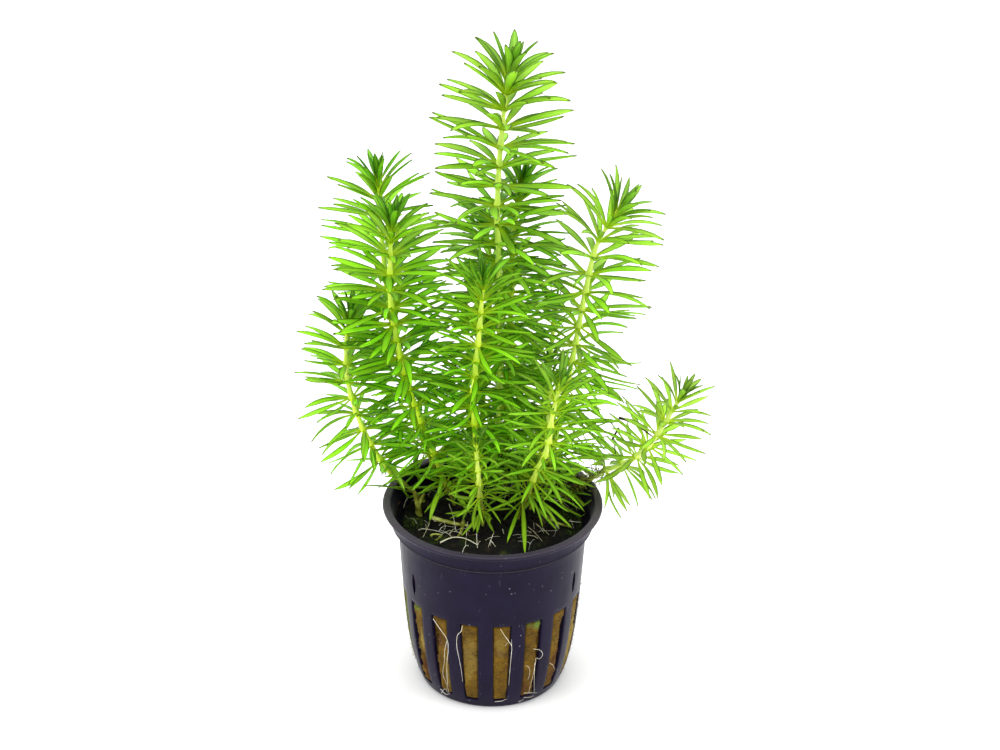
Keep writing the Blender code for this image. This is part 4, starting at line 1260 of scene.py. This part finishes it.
# Single leaves that hang over the plug from the feet of the stems, with their own roots and tips
looseLeaves = (  # root, tip, width, bend outwards in degrees
    ((6.6, -0.8, 46.5), (3.0, -14.5, 43.0), 1.1, 12),
    ((7.0, -1.0, 48.0), (7.8, -16.6, 42.9), 1.15, 14),
    ((8.0, -1.5, 49.0), (14.9, -8.7, 44.3), 1.0, 6),
    ((8.4, -2.3, 50.5), (20.0, -9.8, 44.5), 1.15, 16),
    ((-2.6, -4.0, 46.5), (-3.8, -9.6, 43.0), 0.9, 20),
    ((-2.6, -4.0, 46.5), (0.4, -8.6, 43.2), 0.9, 18),
    ((-4.0, -0.3, 48.5), (-7.0, -4.4, 44.0), 0.9, 25),
    ((-10.4, 4.6, 47.5), (-15.8, -0.5, 43.8), 0.9, 22),
    ((-10.4, 4.6, 46.5), (-15.0, 2.1, 43.9), 0.8, 26),
    ((7.4, -1.2, 48.2), (2.6, -5.4, 44.6), 0.9, 18),
    ((16.9, 7.7, 44.0), (23.4, 1.0, 48.2), 0.9, 30),
    ((-18.2, 7.0, 44.5), (-30.0, -1.6, 51.8), 1.0, 20),
    ((18.5, 6.0, 84.0), (34.6, 4.0, 81.8), 1.1, -42),
    ((18.0, 6.25, 81.0), (33.6, 4.0, 76.7), 1.0, -30),
    ((17.7, 6.4, 79.0), (29.6, 4.0, 72.8), 1.0, 14),
    ((17.25, 6.6, 76.0), (31.5, 3.4, 75.0), 1.0, -20),
    ((16.9, 6.8, 74.0), (29.5, 5.0, 64.2), 1.0, -34),
    ((25.0, 6.2, 51.3), (19.6, 4.5, 66.3), 0.8, 8),
    ((33.0, 3.05, 57.5), (27.0, 4.0, 66.6), 0.9, 10),
    ((-3.2, -7.6, 55.0), (-11.5, -10.5, 56.5), 0.8, 34),
    ((-3.2, -7.6, 55.0), (5.0, -11.6, 53.0), 0.8, -30),
    ((-3.0, -6.0, 51.5), (-10.0, -9.0, 47.0), 0.8, -28),
    ((-3.0, -6.0, 51.5), (2.5, -12.5, 47.5), 0.75, 30),
    ((-10.4, 4.4, 50.0), (-17.6, -3.5, 50.5), 0.85, 40),
    ((-10.4, 4.4, 49.0), (-5.0, -4.0, 45.5), 0.8, -30),
    ((8.8, -3.3, 53.0), (16.5, -8.5, 56.0), 0.8, -32),
    ((8.8, -3.3, 53.0), (1.5, -9.5, 50.0), 0.8, 28),
    ((8.2, -2.2, 50.0), (16.0, -2.0, 47.0), 0.8, 36),
)
looseForm = {
    "age": 30.0,  # coloured as leaves are this far below the tip, in millimetres
    "foot": 9.0,  # and this high above the stem's foot
    "slack": 1.03,  # length of the leaf for each millimetre between its ends
    "wild": 0.15,
    "seed": 40,
}


def looseLeafMesh():
    # one point for each leaf, with the same values as the stems' points have
    places, rows = [], []
    for root, tip, width, bend in looseLeaves:
        reach = Vector(tip) - Vector(root)
        lit = leaf["towardsLight"] * reach.y / math.hypot(reach.x, reach.y)
        rows.append({
            "whorl": True, "leaves": 1, "girth": 0.0, "down": looseForm["age"], "foot": looseForm["foot"],
            "heading": (0, 0, 1), "start": math.atan2(reach.x, -reach.y),
            "rise": math.asin(reach.z / reach.length) + lit, "long": reach.length * looseForm["slack"] * mm,
            "wide": width / 2 * mm, "arch": -math.radians(bend), "wild": looseForm["wild"]})
        places.append(Vector(root) * mm)
    return pointMesh("loose_leaves", places, [], rows)


hanging = runTree(whorledShoot, looseLeafMesh(), "leaves_over_the_plug", {
    "Stem sides": shootForm["sides"], "Seed": looseForm["seed"], "Leaf material": leafGreen,
    "Stem material": stemGreen})
settle(hanging)
bpy.data.objects.remove(bladeHolder)

# Old stem, cut off and dying back: yellow green with paler patches
oldStem = mottledMaterial(
    "stem_old_yellowing", {"IOR": 1.42, "Roughness": 0.5, "Specular IOR Level": 0.3},
    scale=450.0, detail=3.0,  # patches of 2.2 mm
    stops=[(0.35, "#565413"), (0.5, "#848a26"), (0.7, "#ccd06e")])

# The stub of an old stem, forked near its end
stubPaths = (  # radius, places
    (0.95, ((-17.5, 2.5, 40.0), (-17.6, 2.6, 42.6), (-18.0, 2.7, 45.2), (-18.8, 3.0, 48.2))),
    (0.6, ((-17.7, 2.6, 43.2), (-17.1, 2.7, 45.4), (-16.2, 2.9, 47.2))),
)
pathSteps = {"stub": 5, "deadLeaf": 8, "root": 6, "wandering": 3}  # on each stretch between two places
stubMesh = threadMesh("stub_path", [
    (smoothPath([Vector(place) for place in places], pathSteps["stub"]), radius)
    for radius, places in stubPaths])
stub = runTree(sweptThread, stubMesh, "old_stem_cut", {"Sides": 10, "Material": oldStem})
settle(stub, "old_stem_stub")

# Young roots: white and faintly glassy, so that they stand out on the dark wool
whiteRoot = mottledMaterial(
    "root_young_pale", {"Roughness": 0.45, "IOR": 1.4},
    scale=300.0, detail=2.0,  # patches of 3.3 mm
    stops=[(0.35, "#cdc49c"), (0.5, "#ece6cf"), (0.7, "#faf8f0")])

# Dead roots and leaves: shrivelled, dull, brown to nearly black
deadBrown = mottledMaterial(
    "root_dead_brown", {"Roughness": 0.75, "Specular IOR Level": 0.25},
    scale=240.0, detail=3.0,  # patches of 4.2 mm
    stops=[(0.35, "#0c0806"), (0.5, "#2a1a0d"), (0.7, "#7a5c3a")])

topRoots = (  # radius, then places on the plug's top
    (0.12, ((-14.6, -0.9), (-15.2, -5.3), (-16.2, -9.3))),
    (0.12, ((-14.4, -0.2), (-13.6, -2.4), (-12.7, -1.6), (-11.5, -2.3), (-11.1, -5.2), (-11.6, -7.0))),
    (0.12, ((-17.3, -6.4), (-16.3, -5.9), (-14.4, -6.4), (-12.6, -7.1), (-11.4, -8.1))),
    (0.24, ((-12.1, -11.7), (-10.6, -10.6), (-9.1, -9.9), (-7.3, -10.1), (-5.8, -10.9), (-4.2, -12.3),
            (-3.5, -13.0))),
    (0.11, ((-10.4, 4.4), (-9.3, -0.8), (-8.7, -5.2), (-8.4, -7.3))),
    (0.11, ((-5.9, -2.9), (-6.0, -8.0), (-6.2, -13.7))),
    (0.12, ((-3.7, -8.7), (-3.4, -14.4))),
    (0.12, ((0.4, -7.9), (-0.2, -10.8), (-0.9, -14.3))),
    (0.10, ((-0.2, -11.5), (0.8, -14.3))),
    (0.10, ((2.4, -6.4), (2.7, -8.5))),
    (0.13, ((10.3, -2.9), (11.4, -4.7), (12.1, -6.9))),
    (0.10, ((11.8, -4.7), (13.3, -7.6))),
    (0.12, ((8.4, -4.8), (9.9, -6.9), (11.7, -10.5))),
    (0.10, ((14.6, 8.3), (16.1, 9.5), (19.6, 11.5))),
    (0.10, ((15.0, 7.6), (17.7, 9.2), (20.4, 11.9))),
    (0.12, ((18.1, -1.3), (19.8, -1.3), (21.0, -1.2))),
    (0.14, ((-20.4, 9.1), (-21.0, 6.4), (-21.2, 3.7))),
)
slotRoots = (  # radius, how far it stands out from the wall, then degrees round and height
    (0.14, -0.1, ((-39.7, 24.4), (-34.6, 22.3), (-29.7, 20.0), (-29.1, 17.1), (-31.3, 11.6), (-32.8, 5.4),
                  (-33.2, 2.8))),
    (0.11, -0.2, ((-29.8, 19.5), (-32.1, 16.2), (-33.4, 12.4), (-35.9, 8.4), (-33.9, 5.3), (-35.6, 2.7))),
    (0.12, 0.2, ((-40.2, 3.1), (-36.2, 1.9), (-31.6, 2.9))),
    (0.10, 0.3, ((-40.9, 1.5), (-35.6, 3.9), (-33.0, 3.1))),
    (0.13, 0.25, ((-18.0, 25.4), (-19.0, 23.6), (-21.6, 22.1), (-22.2, 18.9), (-21.0, 15.5), (-20.0, 12.4),
                  (-19.4, 8.3))),
    (0.14, 0.1, ((5.8, 25.1), (8.3, 23.2), (11.2, 21.3), (13.3, 19.5), (13.0, 15.2), (12.7, 11.0),
                 (12.6, 7.8))),
    (0.08, 0.1, ((13.3, 19.5), (13.1, 21.8))),
    (0.08, 0.0, ((9.1, 19.9), (10.7, 20.9))),
    (0.12, 0.1, ((3.2, 2.4), (8.0, 2.5), (12.4, 3.1))),
    (0.10, 0.2, ((28.3, 17.7), (33.7, 16.6), (36.0, 15.0), (33.9, 14.0), (31.0, 14.6), (30.8, 13.1),
                 (30.1, 9.5), (29.2, 6.3), (29.0, 3.9))),
    (0.09, 0.0, ((23.8, 13.1), (26.8, 12.0), (27.6, 10.3), (26.9, 8.3))),
    (0.10, 0.1, ((30.6, 13.1), (31.7, 8.2), (34.4, 3.2))),
    (0.10, 0.3, ((24.6, 4.3), (36.6, 2.8))),
    (0.10, 0.3, ((25.5, 2.6), (30.2, 2.1), (34.9, 2.0))),
    (0.08, 0.3, ((21.8, 1.4), (25.9, 1.9))),
    (0.10, 0.1, ((43.9, 11.1), (48.1, 9.6), (51.3, 7.9))),
)
fineRoots = (  # where fine white roots mat the plug: middle, reach, count, length
    ((-14.0, -4.0), 4.0, 5, 5.0),
    ((-8.0, -9.0), 4.0, 5, 4.5),
    ((-2.0, -12.5), 3.5, 4, 4.0),
    ((10.0, -8.5), 3.5, 7, 4.5),
    ((17.0, -2.0), 3.0, 3, 4.0),
    ((18.0, 8.5), 3.0, 6, 5.0),
    ((-16.0, 10.0), 4.0, 6, 4.5),
    ((2.0, 16.0), 5.0, 10, 4.5),
)
brownRoots = (  # the same for dead ones
    ((10.3, -3.2), 2.4, 14, 6.0),
    ((-5.0, -9.0), 4.0, 8, 4.0),
    ((13.0, 9.0), 5.0, 12, 5.0),
    ((-10.0, 13.0), 4.0, 10, 5.0),
)
oldStems = (  # pieces of old stem on the plug: radius, places
    (0.62, ((-14.3, -0.6), (-11.2, -2.2), (-8.0, -3.4), (-5.2, -4.0))),
    (0.5, ((-6.8, -2.2), (-7.3, -6.6), (-8.0, -8.8))),
    (0.28, ((-14.4, -8.2), (-13.7, -7.5), (-11.8, -8.1), (-13.2, -10.0))),
    (0.4, ((12.5, 1.0), (15.5, -2.0), (18.6, -3.4))),
    (0.55, ((-4.0, 17.5), (1.0, 18.8), (6.0, 17.6))),
)
deadLeaves = (  # radius, places from the blackened tip to the stem
    (0.34, ((29.2, 2.5, 68.4), (30.8, 2.3, 68.0), (32.6, 1.9, 67.3), (34.6, 1.2, 66.3), (37.4, 0.2, 64.5))),
    (0.3, ((29.4, 5.0, 64.3), (28.7, 5.0, 62.8), (28.0, 5.0, 60.9), (28.6, 5.0, 59.8), (28.9, 5.0, 56.5))),
    (0.12, ((-21.9, 6.4, 43.0), (-22.6, 3.2, 43.6), (-22.9, -0.5, 42.6))),
)
tangle = {  # brown moss caught on the leaning stem, in millimetres
    "from": (18.2, 7.5, 44.0),
    "to": (25.2, 6.3, 51.2),
    "count": 130,
    "length": 6.5,
    "lengths": (0.4, 1.2),  # by chance, as a share of it
    "upwards": (0.2, 1.4),  # how steeply a thread starts
    "bend": 0.7,
    "radius": (0.07, 0.12),
    "brownEvery": 3,
}
loose = {  # threads that lie on the plug, in millimetres
    "stride": (1.0, 0.6),  # on the plug and free in the air
    "stand": (0.4, 1.0),  # how far they stand off the wool
    "wave": 0.5,  # how much that comes and goes along them
    "start": 0.4,  # and how far where they begin
    "plugEdge": 20.7,
    "lengths": (0.6, 1.3),  # by chance, as a share of the patch's own length
    "bend": 0.28,
    "turns": 5,  # how much faster their heading turns than their place in the patch
    "white": (0.035, 0.065),  # radius, least and most
    "brown": (0.07, 0.13),
    "topRoots": (0.75, 0.75),  # how far they stand off the wool, and the share of their radius that shows
    "slotRoots": 0.48,
    "oldStems": 0.8,  # how far they stand off it, in radii
}


def wander(chance, start, heading, length, bend, onPlug):
    # a fine thread that turns by chance as it goes, over the plug's top or free in the air
    stride = loose["stride"][0 if onPlug else 1]
    stand = chance.uniform(*loose["stand"])
    path = [start]
    while len(path) * stride < length:
        heading = (heading + Vector([chance.uniform(-bend, bend) for axis in range(3)])).normalized()
        place = path[-1] + heading * stride
        if onPlug:
            place *= min(1.0, loose["plugEdge"] / math.hypot(place.x, place.y))
            place.z = plugTopAt(place.x, place.y) + stand * (1 + loose["wave"] * math.sin(len(path)))
        path.append(place)
    return smoothPath(path, pathSteps["wandering"])


def matted(name, patches, radii):
    chance = random.Random(name)
    made = []
    for (x, y), reach, count, length in patches:
        for number in range(count):
            turn = chance.uniform(0.0, 2 * math.pi)
            out = reach * math.sqrt(chance.random())
            place = Vector((x + out * math.cos(turn), y + out * math.sin(turn), 0.0))
            place.z = plugTopAt(place.x, place.y) + loose["start"]
            heading = Vector((math.cos(turn * loose["turns"]), math.sin(turn * loose["turns"]), 0.0))
            reached = length * chance.uniform(*loose["lengths"])
            path = wander(chance, place, heading, reached, loose["bend"], True)
            made.append((path, chance.uniform(*radii)))
    return made


def alongPlug(stand, places):
    return smoothPath([Vector((x, y, plugTopAt(x, y) + stand)) for x, y in places], pathSteps["root"])


rootStand, rootShare = loose["topRoots"]
white = [(alongPlug(rootStand, places), radius * rootShare) for radius, places in topRoots]
white += matted("white roots", fineRoots, loose["white"])
for radius, stand, places in slotRoots:
    points = [around(math.radians(turn), wallRadius(high) + stand + radius, high) for turn, high in places]
    white.append((smoothPath(points, pathSteps["root"]), radius * loose["slotRoots"]))
brown = matted("brown roots", brownRoots, loose["brown"])
brown += [(smoothPath([Vector(place) for place in places], pathSteps["deadLeaf"]), radius)
          for radius, places in deadLeaves]
old = [(alongPlug(radius * loose["oldStems"], places), radius) for radius, places in oldStems]
chance = random.Random("tangle")
for number in range(tangle["count"]):
    start = Vector(tangle["from"]).lerp(Vector(tangle["to"]), chance.random())
    heading = Vector((chance.uniform(-1, 1), chance.uniform(-1, 1), chance.uniform(*tangle["upwards"])))
    length = tangle["length"] * chance.uniform(*tangle["lengths"])
    caught = wander(chance, start, heading, length, tangle["bend"], False)
    kind = old if number % tangle["brownEvery"] else brown
    kind.append((caught, chance.uniform(*tangle["radius"])))
for name, threads, material in (("pale_roots", white, whiteRoot), ("dead_roots_and_leaves", brown, deadBrown),
                                ("old_stem_bits", old, oldStem)):
    path = threadMesh(name + "_path", threads)
    settle(runTree(sweptThread, path, name, {"Sides": 6, "Material": material}))

bpy.context.view_layer.update()
